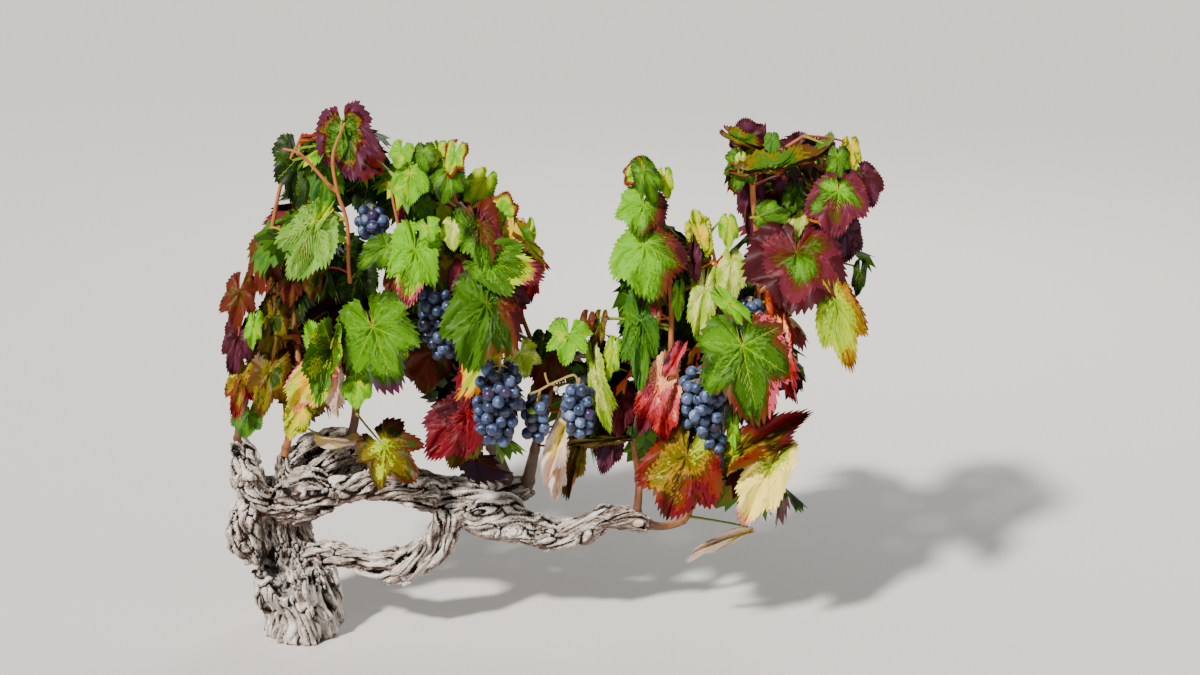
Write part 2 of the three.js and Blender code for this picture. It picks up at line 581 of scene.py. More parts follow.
def tube(way: Array, radii: Array | float, sides: int) -> tuple[Array, Array]:
    """Make a closed round tube.

    Args:
        way: the points of its middle line.
        radii: its radius, at each point or all along.
        sides: how many sides it has.

    Returns:
        Its points and triangles.
    """
    count = len(way)
    radii = np.broadcast_to(np.asarray(radii, float), (count,))
    _, side, across = way_frames(way)
    turn = np.arange(sides) * 2 * math.pi / sides
    rings = (way[:, None, :3] + radii[:, None, None] * (side[:, None] * np.cos(turn)[:, None]
                                                        + across[:, None] * np.sin(turn)[:, None]))
    points = np.vstack([rings.reshape(-1, 3), way[:1, :3], way[-1:, :3]])
    ring = np.arange(sides)
    following = (ring + 1) % sides
    rows = bands(count, sides)
    last = (count - 1) * sides
    rows.append(np.column_stack([np.full(sides, count * sides), following, ring]))
    rows.append(np.column_stack([np.full(sides, count * sides + 1), last + ring, last + following]))
    return points, np.vstack(rows)


def bend(start: Array, end: Array, middle: Array, count: int) -> Array:
    """Return the points of a curve from start to end that leans towards a middle point."""
    t = np.linspace(0, 1, count)[:, None]
    return start * (1 - t) ** 2 + 2 * middle * t * (1 - t) + end * t**2


@dataclass(frozen=True)
class CaneFinish:
    """This year's bark: red-orange at the tips, brown with age, finely striped along the cane."""

    red: Triple = (180, 104, 54)
    orange: Triple = (190, 122, 68)
    brown: Triple = (98, 62, 44)
    grey: Triple = (104, 84, 70)
    dark: Triple = (52, 30, 24)

    def build(self) -> bpy.types.Material:
        """Make the material.

        Returns:
            The material.
        """
        finish = Finish("cane_bark")
        stripe = finish.streaks(finish.grain(0.06), 900.0, 3.0)
        patch = finish.streaks(finish.add("ShaderNodeTexCoord", {}).outputs["Object"], 60.0, 3.0)
        height = finish.mark("age") + (stripe - 0.5) * 0.7 + (patch - 0.5) * 0.5
        aged = finish.ramp(height, (0, self.red), (0.3, self.orange), (0.62, self.brown), (0.95, self.grey))
        dark = (finish.mark("joint") * 0.6 + (0.45 - stripe) * 3.2).limited()
        striped = finish.mix(dark, aged, linear(self.dark))
        finish.join(finish.shader.inputs["Base Color"], striped)
        finish.constants(Roughness=0.55, Specular_IOR_Level=0.35)
        finish.bump(stripe, 0.4, 0.0006)
        return finish.material


@dataclass(frozen=True)
class Limb:
    """A limb's middle line, as the frame has it: a place and a radius a point."""

    name: str
    way: Way
    twist: float = 1.0


LIMBS = (
    Limb("trunk", (
        (6, 2, -30, 60), (0, 2, 8, 49), (-8, 8, 48, 36), (-14, 14, 96, 31), (-12, 16, 150, 29)), 0.3),
    Limb("split_collar", ((10, -14, -30, 44), (7, -18, 30, 46), (3, -24, 78, 44)), 0.12),
    Limb("left_head", (
        (-34, 2, 160, 20), (-18, -2, 163, 27), (10, -6, 167, 30), (34, -2, 162, 25),
        (46, 2, 158, 17)), 0.5),
    Limb("left_arm", (
        (-16, -2, 158, 22), (-38, -12, 172, 23), (-48, -15, 196, 19), (-53, -12, 218, 15),
        (-62, -8, 238, 8))),
    Limb("left_knob", ((-42, -12, 158, 21), (-49, -14, 136, 25), (-51, -13, 108, 23), (-52, -11, 84, 13))),
    Limb("head_spur", ((-10, -4, 186, 12), (-11, -4, 202, 9), (-6, -4, 222, 6))),
    Limb("back_head", (
        (-14, 34, 182, 18), (4, 38, 192, 24), (34, 42, 199, 28), (64, 44, 198, 26), (90, 44, 187, 16))),
    Limb("back_arm", (
        (80, 44, 186, 15), (106, 47, 174, 13), (146, 49, 163, 12), (190, 50, 157, 13), (240, 43, 150, 14))),
    Limb("upper_arm", ((34, 2, 163, 18), (78, 4, 174, 18), (124, 1, 177, 20), (172, -8, 167, 23))),
    Limb("long_arm", ((172, -8, 167, 23), (214, -10, 150, 27), (254, -8, 135, 26), (284, -5, 123, 20))),
    Limb("arm_end", (
        (278, -5, 126, 21), (308, -6, 116, 19), (336, -8, 125, 18), (364, -8, 138, 16), (392, -8, 138, 14),
        (416, -8, 131, 11))),
    Limb("loop_bend", ((184, -12, 158, 20), (181, -24, 136, 19), (164, -30, 107, 19), (124, -30, 87, 19))),
    Limb("loop_low", (
        (128, -30, 88, 19), (94, -27, 89, 18), (60, -18, 97, 15), (30, -4, 92, 14), (4, 8, 84, 14))),
    Limb("fruit_spur", ((232, 43, 150, 14), (252, 38, 157, 17), (270, 34, 158, 15), (280, 32, 160, 9))),
)


@dataclass(frozen=True)
class Knot:
    """A place where the wood's grain bends round a swelling."""

    pixel: Pair
    depth: float
    reach: float
    stretch: float

    def place(self) -> Array:
        """Return the knot's middle."""
        return CAMERA.at(self.pixel, self.depth)


@dataclass
class OldWood:
    """Some of the old limbs, as one mesh with the relief of cracked, stringy bark."""

    name: str
    limbs: tuple[str, ...]
    splinters: int = 0
    coarse_cell: float = 2.4
    fine_cell: float = 1.42
    knots: tuple[Knot, ...] = (
        Knot((294, 493), -34.0, 24.0, 1.5),
        Knot((483, 512), -36.0, 17.0, 1.9),
        Knot((511, 533), -32.0, 13.0, 1.6),
        Knot((340, 456), 14.0, 20.0, 1.5),
    )
    twist: float = 2 * math.pi / 330
    step: float = 3.0
    outlook: float = 70.0
    stagger: float = 0.5
    apart: float = 200.0
    still: float = 1.2
    plate: Triple = (92, 8.8, 8.8)
    strip: Triple = (46, 4.2, 4.2)
    chip: Triple = (24, 9.5, 9.5)
    thread: Triple = (76, 3.3, 3.3)
    hair: Triple = (34, 1.6, 1.6)
    cut_pixel: Pair = (638.0, 523.0)
    cut_size: Pair = (5.4, 3.8)
    piece: Piece = field(init=False)

    def build(self) -> Piece:
        """Make the wood and wear its finish.

        Returns:
            The piece.
        """
        self._chart_limbs()
        copies = [self._splinters()] if self.splinters else []
        for name in self.limbs:
            source = frame["nodes"][name]
            copy = source.copy()
            copy.data = source.data.copy()
            copy.parent = None
            bpy.context.collection.objects.link(copy)
            copies.append(copy)
        only(*copies)
        bpy.ops.object.join()
        self.piece = bpy.context.view_layer.objects.active
        self.piece.name = self.name
        bpy.ops.object.mode_set(mode="EDIT")
        bpy.ops.mesh.select_all(action="SELECT")
        bpy.ops.mesh.remove_doubles(threshold=1e-5)
        bpy.ops.mesh.normals_make_consistent(inside=False)
        bpy.ops.object.mode_set(mode="OBJECT")
        self._remesh(self.coarse_cell)
        self._modify("SMOOTH", factor=0.6, iterations=8)
        self._move(self._lumps)
        self._remesh(self.fine_cell)
        self._move(self._strands)
        self._dress()
        LOG.info("%s: %d faces", self.name, len(self.piece.data.polygons))
        return self.piece

    def _splinters(self) -> Piece:
        """Stand torn wood round the top of the collar, lower at the back.

        Returns:
            The torn wood.
        """
        random = np.random.default_rng(17)
        buffer = MeshBuffer()
        for number in range(self.splinters):
            turn = number * 2.4 + random.uniform(-0.3, 0.3)
            out = np.array([math.cos(turn), math.sin(turn), 0.0])
            reach = random.uniform(33, 45)
            foot = np.array([4.0, -20.0, 0.0]) + out * (reach - 2) + UP * random.uniform(20, 50)
            rise = random.uniform(78, 108) - (8 if out[1] > 0.3 else 0)
            head = np.array([3.0, -23.0, 0.0]) + out * (reach + random.uniform(-3, 5)) + UP * rise
            head += np.array([random.uniform(-9, 2), 0, 0])
            way = bend(foot, head, (foot + head) / 2 + out * random.uniform(-2, 3), 6)
            buffer.add(*tube(way, np.linspace(random.uniform(4, 7.5), 1.6, 6), 5), Tone.DRY)
        return buffer.build("splinters")

    def _modify(self, kind: str, **settings: object) -> None:
        """Apply one modifier.

        Args:
            kind: the modifier's type.
            settings: its settings.
        """
        only(self.piece)
        modifier = self.piece.modifiers.new("shape", kind)
        for name, value in settings.items():
            setattr(modifier, name, value)
        bpy.ops.object.modifier_apply(modifier=modifier.name)

    def _remesh(self, cell: float) -> None:
        """Make one even skin round all the limbs."""
        self._modify("REMESH", mode="VOXEL", voxel_size=cell * MM, use_smooth_shade=True)

    def _chart_limbs(self) -> None:
        """Lay out the limbs' middle lines and the frames along them."""
        parts = []
        start = 0.0
        for number, limb in enumerate(limb for limb in LIMBS if limb.name in self.limbs):
            way = smooth_way(limb.way, self.step)
            along, side, across = way_frames(way)
            run = run_along(way[:, :3])
            start += number * self.stagger
            parts.append(np.column_stack([way, along, side, across, run + start,
                                          np.full(len(way), limb.twist)]))
            start += run[-1] + self.apart
        self.chart = np.vstack(parts)

    def straightened(self, points: Array) -> Array:
        """Find where points lie along and across their nearest limb.

        Args:
            points: places on the skin.

        Returns:
            Distance along, and to the two sides with the swellings rolled flat, a row each.
        """
        grain = np.empty_like(points)
        chart = self.chart
        for first in range(0, len(points), 4000):
            part = points[first : first + 4000]
            gap = np.linalg.norm(part[:, None] - chart[None, :, :3], axis=2) / (chart[:, 3] + 4.0)
            near = chart[np.argmin(gap, axis=1)]
            offset = part - near[:, :3]
            side = np.sum(offset * near[:, 7:10], axis=1)
            across = np.sum(offset * near[:, 10:13], axis=1)
            even = near[:, 3] / np.maximum(np.hypot(side, across), near[:, 3] * 0.62)
            turn = near[:, 13] * near[:, 14] * self.twist
            grain[first : first + 4000] = np.column_stack([
                near[:, 13] + np.sum(offset * near[:, 4:7], axis=1),
                (side * np.cos(turn) - across * np.sin(turn)) * even,
                (side * np.sin(turn) + across * np.cos(turn)) * even])
        return grain

    def _move(self, relief: Callable[[], Array]) -> None:
        """Move the skin along its normals, and keep it above the ground.

        Args:
            relief: says how far each point moves, from the skin's points and normals.
        """
        mesh = self.piece.data
        points = np.empty(len(mesh.vertices) * 3, np.float32)
        mesh.vertices.foreach_get("co", points)
        points = points.reshape(-1, 3).astype(float) / MM
        self.points = points
        self.normals = np.array([v.vector[:] for v in mesh.vertex_normals])
        moved = points + self.normals * relief()[:, None]
        foot = points[:, 2] < self.still
        moved[foot] = points[foot]
        moved[:, 2] = np.maximum(moved[:, 2], 0.0)
        mesh.vertices.foreach_set("co", (moved * MM).astype(np.float32).ravel())
        mesh.update()

    @staticmethod
    def _noise(points: Array, scale: Triple, shift: float = 0.0) -> Array:
        """Make smooth noise.

        Args:
            points: where it is read.
            scale: its wave length in each direction.
            shift: moves it, so that two noises differ.

        Returns:
            A number from -1 to 1 for each point.
        """
        places = points / np.array(scale) + shift
        return np.fromiter((noise.noise(p) for p in places.tolist()), float, len(places))

    def _lumps(self) -> Array:
        """Swell and hollow the limbs, and wind broad flutes along them.

        Returns:
            How far each point moves.
        """
        points, normals = self.points, self.normals
        grain = self.straightened(points)
        lump = self._noise(points, (32, 32, 32), 3.7) * 5.0 + self._noise(points, (15, 15, 15), 2.2) * 2.4
        flute = np.abs(self._noise(grain, (80, 14, 14), 9.1))
        relief = lump + (np.minimum(flute / 0.3, 1.0) ** 0.8 - 0.7) * 5.6
        if self.splinters:
            out = np.hypot(points[:, 0] - 3, points[:, 1] + 22)
            moat = np.clip((normals[:, 2] - 0.2) / 0.4, 0, 1) * np.clip((points[:, 2] - 60) / 8, 0, 1)
            relief -= 11 * moat * (points[:, 2] < 96) * (out < 41) * (out > 20)
        return relief

    @staticmethod
    def _plates_mask(points: Array) -> Array:
        """Say how much of the bark is cracked into small plates: all of it on the left arm and knob."""
        return np.clip((-28.0 - points[:, 0]) / 12.0, 0, 1) * np.clip((points[:, 2] - 70) / 15.0, 0, 1)

    @staticmethod
    def _cells(grain: Array, scale: Triple) -> tuple[Array, Array]:
        """Break the skin into plates.

        Args:
            grain: places in the straightened limbs.
            scale: the plates' size along and across.

        Returns:
            How far each place is from a crack, from 0 to 1, and a number from 0 to 1 for its plate.
        """
        found = [noise.voronoi(place) for place in (grain / np.array(scale)).tolist()]
        gap = np.array([distances[1] - distances[0] for distances, _ in found])
        middle = np.array([points[0][:] for _, points in found])
        return gap, (np.sin(middle @ (12.9898, 78.233, 37.719)) * 43758.5453) % 1.0

    def _strands(self) -> Array:
        """Cut plates, cracks and fibres into the skin, and keep where they are for the finish.

        Returns:
            How far each point moves.
        """
        points, normals = self.points, self.normals
        grain = self.straightened(points)
        centres = self.straightened(np.array([knot.place() for knot in self.knots]))
        straight = grain.copy()
        for knot, centre in zip(self.knots, centres):
            offset = (straight - centre) / np.array([knot.stretch, 1.0, 1.0])
            gap = np.linalg.norm(offset, axis=1)
            pull = np.exp(-((gap / knot.reach) ** 2) * 1.3)
            grain[:, 1] = grain[:, 1] * (1 - pull) + pull * gap
            grain[:, 2] = grain[:, 2] * (1 - pull)
            grain[:, 0] -= (grain[:, 0] - centre[0]) * pull * 0.5
        grain[:, 1] += self._noise(points, (36, 36, 36), 1.3) * 8.0
        grain[:, 2] += self._noise(points, (36, 36, 36), 6.1) * 8.0
        plates = self._plates_mask(points)
        gap, level = self._cells(grain, self.plate)
        split, fine_level = self._cells(grain, self.strip)
        chip, chip_level = self._cells(grain, self.chip)
        crack = np.clip(gap / 0.15, 0, 1) ** 0.8 * (1 - plates) + plates * np.clip(chip / 0.16, 0, 1) ** 0.8
        dome = np.sqrt(np.clip(gap / 0.7, 0, 1)) * (1 - plates) + plates * np.sqrt(np.clip(chip / 0.6, 0, 1))
        level = level * (1 - plates) + plates * chip_level
        split = np.clip(split / 0.2, 0, 1) ** 0.8
        thread = np.minimum(np.abs(self._noise(grain, self.thread, 5.5)) / 0.3, 1.0)
        hair = self._noise(grain, self.hair, 8.2)
        # The long arm's middle is paler from weathering. Towards its right end that paleness drops off as
        # painted shadow of the leaves above. The collar's torn wood is paler too.
        arm_bleach_and_end_shadow = np.clip((points[:, 0] - 170) / 40, 0, 1) * np.clip((400 - points[:, 0]) / 90, 0.2, 1)
        bleach_with_painted_shadow = np.minimum(np.clip((94 - points[:, 2]) / 14, 0, 1) + arm_bleach_and_end_shadow * 0.5, 1)
        # Dark cracks: partly the bark's own dark inner colour, partly painted shade in the cracks.
        self.crevice = np.clip(crack * (0.62 + 0.2 * split + 0.18 * thread) + 0.1 * hair, 0, 1)
        self.crevice = 1 - (1 - self.crevice) * (1 - 0.3 * bleach_with_painted_shadow)
        self.level = np.clip(0.45 + (level - 0.5) * 0.5 + (fine_level - 0.5) * 0.5 + hair * 0.5
                             + bleach_with_painted_shadow * 0.44 + plates * 0.16, 0, 1)
        self.grain = grain
        # Painted shade: faces turned downward get a darker, red-brown bark colour, as undersides look in
        # shade.
        self.underside = np.clip(0.5 - normals[:, 2] * 0.8, 0, 1)
        # Painted shade: how much other wood shuts a point in, which darkens the bark there.
        self.shelter = self._painted_occlusion()
        offset = (CAMERA.seen(points) - self.cut_pixel) / self.cut_size
        far = np.hypot(offset[:, 0], offset[:, 1]) + (normals @ CAMERA.towards() < 0.1) * 9
        self.cut = np.clip((1.35 - far) / 0.5, 0, 1)
        relief = ((crack - 0.9) * 3.8 + (dome - 0.7) * 3.6 + (level - 0.5) * 2.4 + (split - 0.85) * 1.3
                  + (thread - 0.6) * 1.2 + hair * 0.6 + (fine_level - 0.5) * 0.8)
        return relief * (1 - self.cut) + 1.4 * np.exp(-(((far - 1.15) / 0.25) ** 2))

    def _painted_occlusion(self) -> Array:
        """Say how much of each point's outlook other wood shuts out, for the bark's painted shade.

        Returns:
            A number from 0 to 1 for each point.
        """
        points, normals = self.points, self.normals
        mesh = self.piece.data
        tree = BVHTree.FromPolygons((points * MM).tolist(), [face.vertices[:] for face in mesh.polygons])
        spread = unit(np.array([(0.0, 0.0, 0.1), (0.8, 0.2, 0.4), (-0.7, 0.5, 0.4), (0.1, -0.9, 0.4),
                                (-0.3, -0.3, 0.9), (0.3, 0.7, 0.6)]))
        side = unit(np.cross(normals, (0.31, 0.57, 0.76)))
        across = np.cross(normals, side)
        starts = (points + normals * 2.5) * MM
        shut = np.zeros(len(points))
        for x, y, z in spread:
            ways = side * x + across * y + normals * z
            shut += np.fromiter((tree.ray_cast(a, b, self.outlook * MM)[0] is not None
                                 for a, b in zip(starts.tolist(), ways.tolist())), float, len(points))
        shut /= len(spread)
        edges = np.empty(len(mesh.edges) * 2, np.int32)
        mesh.edges.foreach_get("vertices", edges)
        edges = edges.reshape(-1, 2)
        count = np.bincount(edges.ravel(), minlength=len(points)) + 1.0
        for _ in range(6):
            total = shut + np.bincount(edges[:, 0], shut[edges[:, 1]], len(points))
            shut = (total + np.bincount(edges[:, 1], shut[edges[:, 0]], len(points))) / count
        return shut

    def _dress(self) -> None:
        """Keep the grain, the crevices, the painted shade of undersides and of hemmed-in places, and the cut
        on the mesh, and wear the bark.
        """
        wear(self.piece, BarkFinish().build(), {"grain": self.grain * MM, "crevice": self.crevice,
                                                "level": self.level, "underside": self.underside,
                                                "shelter": self.shelter, "cut": self.cut})


@dataclass(frozen=True)
class BarkFinish:
    """Grey, weathered bark: pale worn ridges, near-black cracks that are partly painted shade, undersides
    painted darker and red-brown as shade, and painted shade where other wood hems the bark in.
    """

    # Crack colour: the bark's dark inner colour with painted shade.
    black: Triple = (12, 9, 9)
    dark: Triple = (36, 29, 27)
    brown: Triple = (98, 82, 73)
    grey: Triple = (152, 137, 126)
    pale: Triple = (208, 195, 183)
    white: Triple = (246, 239, 232)
    # Painted shade colour of the undersides.
    under: Triple = (96, 66, 50)
    # Painted shade colour for places that other wood hems in.
    hollow: Triple = (26, 20, 18)
    rim: Triple = (130, 66, 44)
    fresh_wood: Triple = (240, 228, 208)

    def build(self) -> bpy.types.Material:
        """Make the material.

        Returns:
            The material.
        """
        finish = Finish("old_bark")
        crevice, level, underside, shelter, cut = map(
            finish.mark, ("crevice", "level", "underside", "shelter", "cut"))
        fibre = finish.streaks(finish.grain(0.1), 800.0, 4.0)
        broad = finish.streaks(finish.grain(0.1), 210.0, 3.0)
        patch = finish.streaks(finish.add("ShaderNodeTexCoord", {}).outputs["Object"], 34.0, 3.0)
        # Undersides sit lower on the ramp: painted shade.
        height = ((level - 0.5) * 0.6 + 0.66 + (fibre - 0.5) * 1.6 + (broad - 0.5) * 1.2
                  + (patch - 0.5) * 0.7 - underside * 0.22)
        worn = finish.ramp(height, (0.06, self.dark), (0.24, self.brown), (0.44, self.grey),
                           (0.66, self.pale), (0.98, self.white))
        # Blacken the cracks: their own dark colour and painted shade in them.
        cracked = finish.mix(((1.0 - crevice) * 2.8 - 0.52).limited(), worn, linear(self.black))
        # Painted shade: tint the undersides red-brown and darker.
        tinted = finish.mix((underside * 0.5 - 0.08).limited(), cracked, linear(self.under))
        # Painted shade: darken the bark where other wood hems it in.
        shaded = finish.mix((shelter * 1.6 - 0.36).limited() * 0.88, tinted, linear(self.hollow))
        sawn = finish.mix((cut * 2.4 - 1.2 + (fibre - 0.5) * 1.5).limited(), linear(self.rim),
                          linear(self.fresh_wood))
        whole = finish.mix((cut * 3.0).limited(), shaded, sawn)
        finish.join(finish.shader.inputs["Base Color"], whole)
        finish.constants(Roughness=0.86, Specular_IOR_Level=0.25)
        finish.bump(fibre * 0.8 + broad * 0.5, 0.7, 0.0014)
        return finish.material


@dataclass(frozen=True)
class Fineness:
    """How finely a leaf is meshed.

    It holds the columns in each ring of the blade from its heart to its rim, the rim's teeth, the points of
    a main vein, the pairs of side veins on each main vein, the points of a side vein, and how much of the
    swell between the veins shows.
    """

    rings: tuple[int, ...]
    teeth: int
    vein_points: int
    pairs: tuple[int, ...]
    side_points: int
    quilt: float

    @cached_property
    def layout(self) -> tuple[Array, Array, Array, Array, Array]:
        """Lay out the blade's two sides, which share its rim.

        Returns:
            The rim column and the ring of each top point, the top points that have a twin below, the top
            triangles, and the lower triangles.
        """
        rim = self.rings[-1]
        column, ring, starts = [0], [0], []
        for number, count in enumerate(self.rings, 1):
            starts.append(len(column))
            column += [i * rim // count for i in range(count + 1)]
            ring += [number] * (count + 1)
        faces = [(0, starts[0] + i, starts[0] + i + 1) for i in range(self.rings[0])]
        for number in range(1, len(self.rings)):
            few, many = self.rings[number - 1], self.rings[number]
            low, high = starts[number - 1], starts[number]
            for i in range(few):
                a, b = low + i, low + i + 1
                if few == many:
                    faces += [(a, high + i, high + i + 1), (a, high + i + 1, b)]
                else:
                    c = high + 2 * i
                    faces += [(a, c, c + 1), (a, c + 1, b), (b, c + 1, c + 2)]
        column, ring = np.array(column), np.array(ring)
        inner = (ring > 0) & (ring < len(self.rings)) & (column > 0) & (column < rim)
        twins = np.flatnonzero(inner)
        lower = np.arange(len(column))
        lower[twins] = len(column) + np.arange(len(twins))
        top = np.array(faces)
        return column, ring, twins, top[:, ::-1], lower[top]


HERO = Fineness((22, 22, 44, 44, 44, 88, 88, 88, 88, 88, 88, 88, 88, 88, 88, 88, 176), 44, 9,
                (8, 6, 6, 4, 4, 1, 1), 4, 1.0)
FINE = Fineness((22, 22, 44, 44, 44, 88, 88, 88), 44, 7, (6, 5, 5, 3, 3, 1, 1), 3, 0.55)
MEDIUM = Fineness((14, 28, 28, 56, 56), 28, 5, (3, 2, 2, 1, 1, 0, 0), 3, 0.2)
COARSE = Fineness((9, 18, 18, 36), 18, 4, (0, 0, 0, 0, 0), 3, 0.0)


@dataclass(frozen=True)
class Look:
    """How a leaf's colours run over it, as a ramp of tones and what moves a place along the ramp."""

    ramp: str
    base: float = 0.0
    edge: float = 0.0
    side: float = 0.0
    tip: float = 0.0
    tip_power: float = 1.0
    mottle: float = 0.25
    between: float = 0.0
    vein: str = "PALE_GREEN"
    vein_end: str = ""
    under: str = "UNDER UNDER_PALE"


class Looks(Enum):
    """The kinds of leaf on the vine."""

    GREEN = Look("FRESH LIGHT LEAF LEAF MID DEEP", 0.26, 0.05, between=0.4)
    FRESH = Look("LIME FRESH FRESH LIGHT LEAF", 0.2, 0.05, between=0.3)
    # Deep green leaves, painted darker still with shade, as leaves deep in the crown look.
    DARK = Look("MID DEEP DEEP SHADE", 0.3)
    TEAL = Look("UNDER TEAL LEAF MID", 0.2, vein="UNDER_PALE")
    GREEN_RED_EDGE = Look("LIGHT LEAF LEAF MID OLIVE RED_BROWN RED", -0.2, 0.9, mottle=0.26, between=0.2)
    WINE_GREEN_STAR = Look(
        "LIGHT LEAF MID OLIVE RED_BROWN PURPLE_BROWN WINE PURPLE", 0.0, 0.85, side=0.3, mottle=0.2,
        between=0.42, vein="LIGHT", vein_end="RED_BROWN")
    GREEN_BROWN_SIDE = Look(
        "LEAF MID MID OLIVE_BROWN RED_BROWN RED_BROWN WINE_DEEP", 0.06, 0.3, side=0.74, tip=-0.64,
        mottle=0.24, between=0.26, vein="LIGHT")
    GREEN_PINK_TIP = Look(
        "FRESH FRESH LIGHT PALE_GREEN PINK PURPLE PINK", 0.04, 0.1, tip=0.85, tip_power=2.6, mottle=0.2,
        between=0.1)
    GREEN_PURPLE_TIP = Look(
        "LIGHT LIGHT LEAF MID MID PURPLE_GREY PURPLE", 0.04, 0.1, tip=0.75, tip_power=4.0, mottle=0.14,
        between=0.3)
    GREEN_YELLOW_TIP = Look(
        "LIGHT LEAF LEAF LEAF LIME LIME PINK WINE", 0.04, 0.1, tip=0.85, tip_power=2.4, mottle=0.12,
        between=0.2)
    GREEN_WINE_TOP = Look(
        "LIGHT LEAF MID OLIVE_BROWN RED_BROWN WINE_DEEP WINE RED_BROWN", 0.4, 0.1, side=0.6, tip=-0.4,
        mottle=0.2, between=0.12, vein="LEAF")
    GREEN_BROWN_RIGHT = Look(
        "FRESH FRESH LIGHT LEAF OLIVE_BROWN RED_BROWN WINE_DEEP", 0.1, 0.26, side=0.75, mottle=0.14,
        between=0.18)
    GREEN_PINK_SIDE = Look(
        "PALE_GREEN LIME LIME AMBER AMBER RED_BROWN CORAL", 0.04, 0.42, side=0.34, mottle=0.3, between=0.04)
    OLIVE_RED_EDGE = Look(
        "LEAF OLIVE OLIVE_BROWN RED_BROWN WINE_DEEP WINE_DEEP", 0.1, 0.5, side=-0.5, mottle=0.3,
        between=0.1, vein="LEAF", under="LEAF OLIVE RED_BROWN")
    OLIVE_UNDER = Look("OLIVE MID OLIVE_BROWN", 0.2, 0.3, vein="OLIVE_BROWN", under="OLIVE UNDER LIME OLIVE")
    YELLOW_OLIVE = Look(
        "YELLOW LIME OLIVE LIME OLIVE", 0.2, 0.4, mottle=0.5, vein="YELLOW", under="LIME OLIVE")
    PALE_STAR = Look(
        "PALE_GREEN WHITISH PALE_GREEN LIGHT", 0.2, 0.2, mottle=0.4, vein="WHITISH",
        under="PALE_GREEN UNDER")
    PINK = Look(
        "CORAL PINK PINK PURPLE PURPLE_GREY", 0.2, 0.3, side=-0.3, mottle=0.4, vein="CORAL",
        under="PINK PURPLE")
    PURPLE_SHADE = Look(
        "PURPLE_GREY PURPLE PURPLE_BROWN WINE", 0.2, 0.3, mottle=0.5, vein="PINK", under="PURPLE_GREY PINK")
    RUST = Look("ORANGE RUST RUST RED_BROWN", 0.2, 0.3, mottle=0.5, vein="ORANGE", under="TAN ORANGE RUST")
    CREAM_TO_RED = Look(
        "PEACH PINK PINK CORAL RED WINE PURPLE", 0.06, 0.1, tip=0.7, mottle=0.2, vein="CORAL",
        under="PEACH PINK")
    TAN_PALE = Look("CREAM TAN TAN DRY", 0.2, 0.3, mottle=0.4, vein="CREAM", under="CREAM TAN DRY")
    LIME = Look("LIME LIME FRESH LIGHT YELLOW", 0.1, 0.5, mottle=0.4)
    LIME_RED_EDGE = Look("FRESH LIME LIME OLIVE RUST RED", -0.25, 1.1)
    PALE = Look("WHITISH PALE_GREEN PALE_GREEN FRESH", 0.1, 0.4, mottle=0.4, vein="WHITISH")
    PALE_UNDER = Look("UNDER UNDER_PALE UNDER", 0.2, 0.2, vein="WHITISH", under="UNDER_PALE UNDER")
    WINE = Look(
        "WINE WINE WINE_DEEP PURPLE_BROWN", 0.1, 0.4, mottle=0.45, vein="RUST",
        under="PURPLE_GREY PURPLE WINE")
    WINE_GREEN_HEART = Look(
        "LIGHT LEAF OLIVE_BROWN RED_BROWN WINE WINE WINE WINE_DEEP", 0.16, 0.9, side=-0.3, mottle=0.4,
        between=0.2, vein="LEAF", vein_end="RED_BROWN", under="PURPLE_GREY PURPLE")
    CRIMSON = Look(
        "WINE_DEEP WINE RED CRIMSON CRIMSON RED OLIVE", 0.35, 0.1, side=0.42, mottle=0.3, vein="CORAL",
        under="PINK RED")
    PURPLE = Look(
        "PURPLE WINE_DEEP PURPLE_BROWN PURPLE_BROWN", 0.2, 0.2, mottle=0.4, vein="RED_BROWN",
        under="PURPLE_GREY PURPLE")
    PINK_GREEN_HEART = Look(
        "FRESH LIGHT LEAF OLIVE_BROWN WINE PURPLE WINE", 0.02, 0.85, side=0.1, tip=0.2, mottle=0.4,
        between=0.24, vein_end="WINE")
    OLIVE_RED = Look(
        "LIME OLIVE AMBER OLIVE_BROWN RUST RED CRIMSON RED_BROWN", 0.18, 0.26, side=0.1, tip=0.36,
        mottle=0.36, between=0.08, vein="OLIVE", vein_end="RED_BROWN", under="OLIVE RUST OLIVE_BROWN")
    OLIVE_BROWN = Look(
        "MID OLIVE OLIVE_BROWN OLIVE_BROWN BROWN", 0.2, 0.4, mottle=0.35, vein="OLIVE", under="UNDER OLIVE")
    RED_BROWN = Look(
        "OLIVE_BROWN RED_BROWN RED_BROWN PURPLE_BROWN", 0.2, 0.3, mottle=0.4, vein="RUST",
        under="PURPLE_GREY RED_BROWN")
    GREEN_STAR_BROWN = Look(
        "LIME OLIVE OLIVE OLIVE_BROWN MID OLIVE_BROWN BROWN", 0.0, 0.6, side=0.4, mottle=0.2, between=0.5,
        vein="LIGHT", vein_end="OLIVE")
    YELLOW_PINK_EDGE = Look(
        "YELLOW YELLOW LIME PEACH PINK CORAL", -0.1, 0.8, mottle=0.3, vein="CREAM", under="CREAM PEACH")
    YELLOW_RED = Look(
        "LIME YELLOW GOLD RED CRIMSON", 0.0, 0.8, mottle=0.45, vein="YELLOW", under="PEACH GOLD")
    CREAM_PINK_TIP = Look(
        "LIME CREAM CREAM CREAM PEACH PINK", 0.1, 0.3, tip=0.35, mottle=0.25, vein="CREAM",
        under="CREAM PEACH")
    TAN = Look("PEACH TAN TAN DRY DRY", 0.2, 0.3, mottle=0.4, vein="PEACH", under="TAN DRY")
    CORAL = Look(
        "PEACH PINK CORAL CORAL RED WINE", 0.1, 0.2, tip=0.6, mottle=0.3, vein="RED", under="PINK CORAL")
    GREEN_CORAL_SIDE = Look(
        "LIGHT LEAF LEAF MID OLIVE_BROWN RED_BROWN PINK", 0.02, 0.36, side=0.36, tip=0.16, mottle=0.26,
        between=0.34)


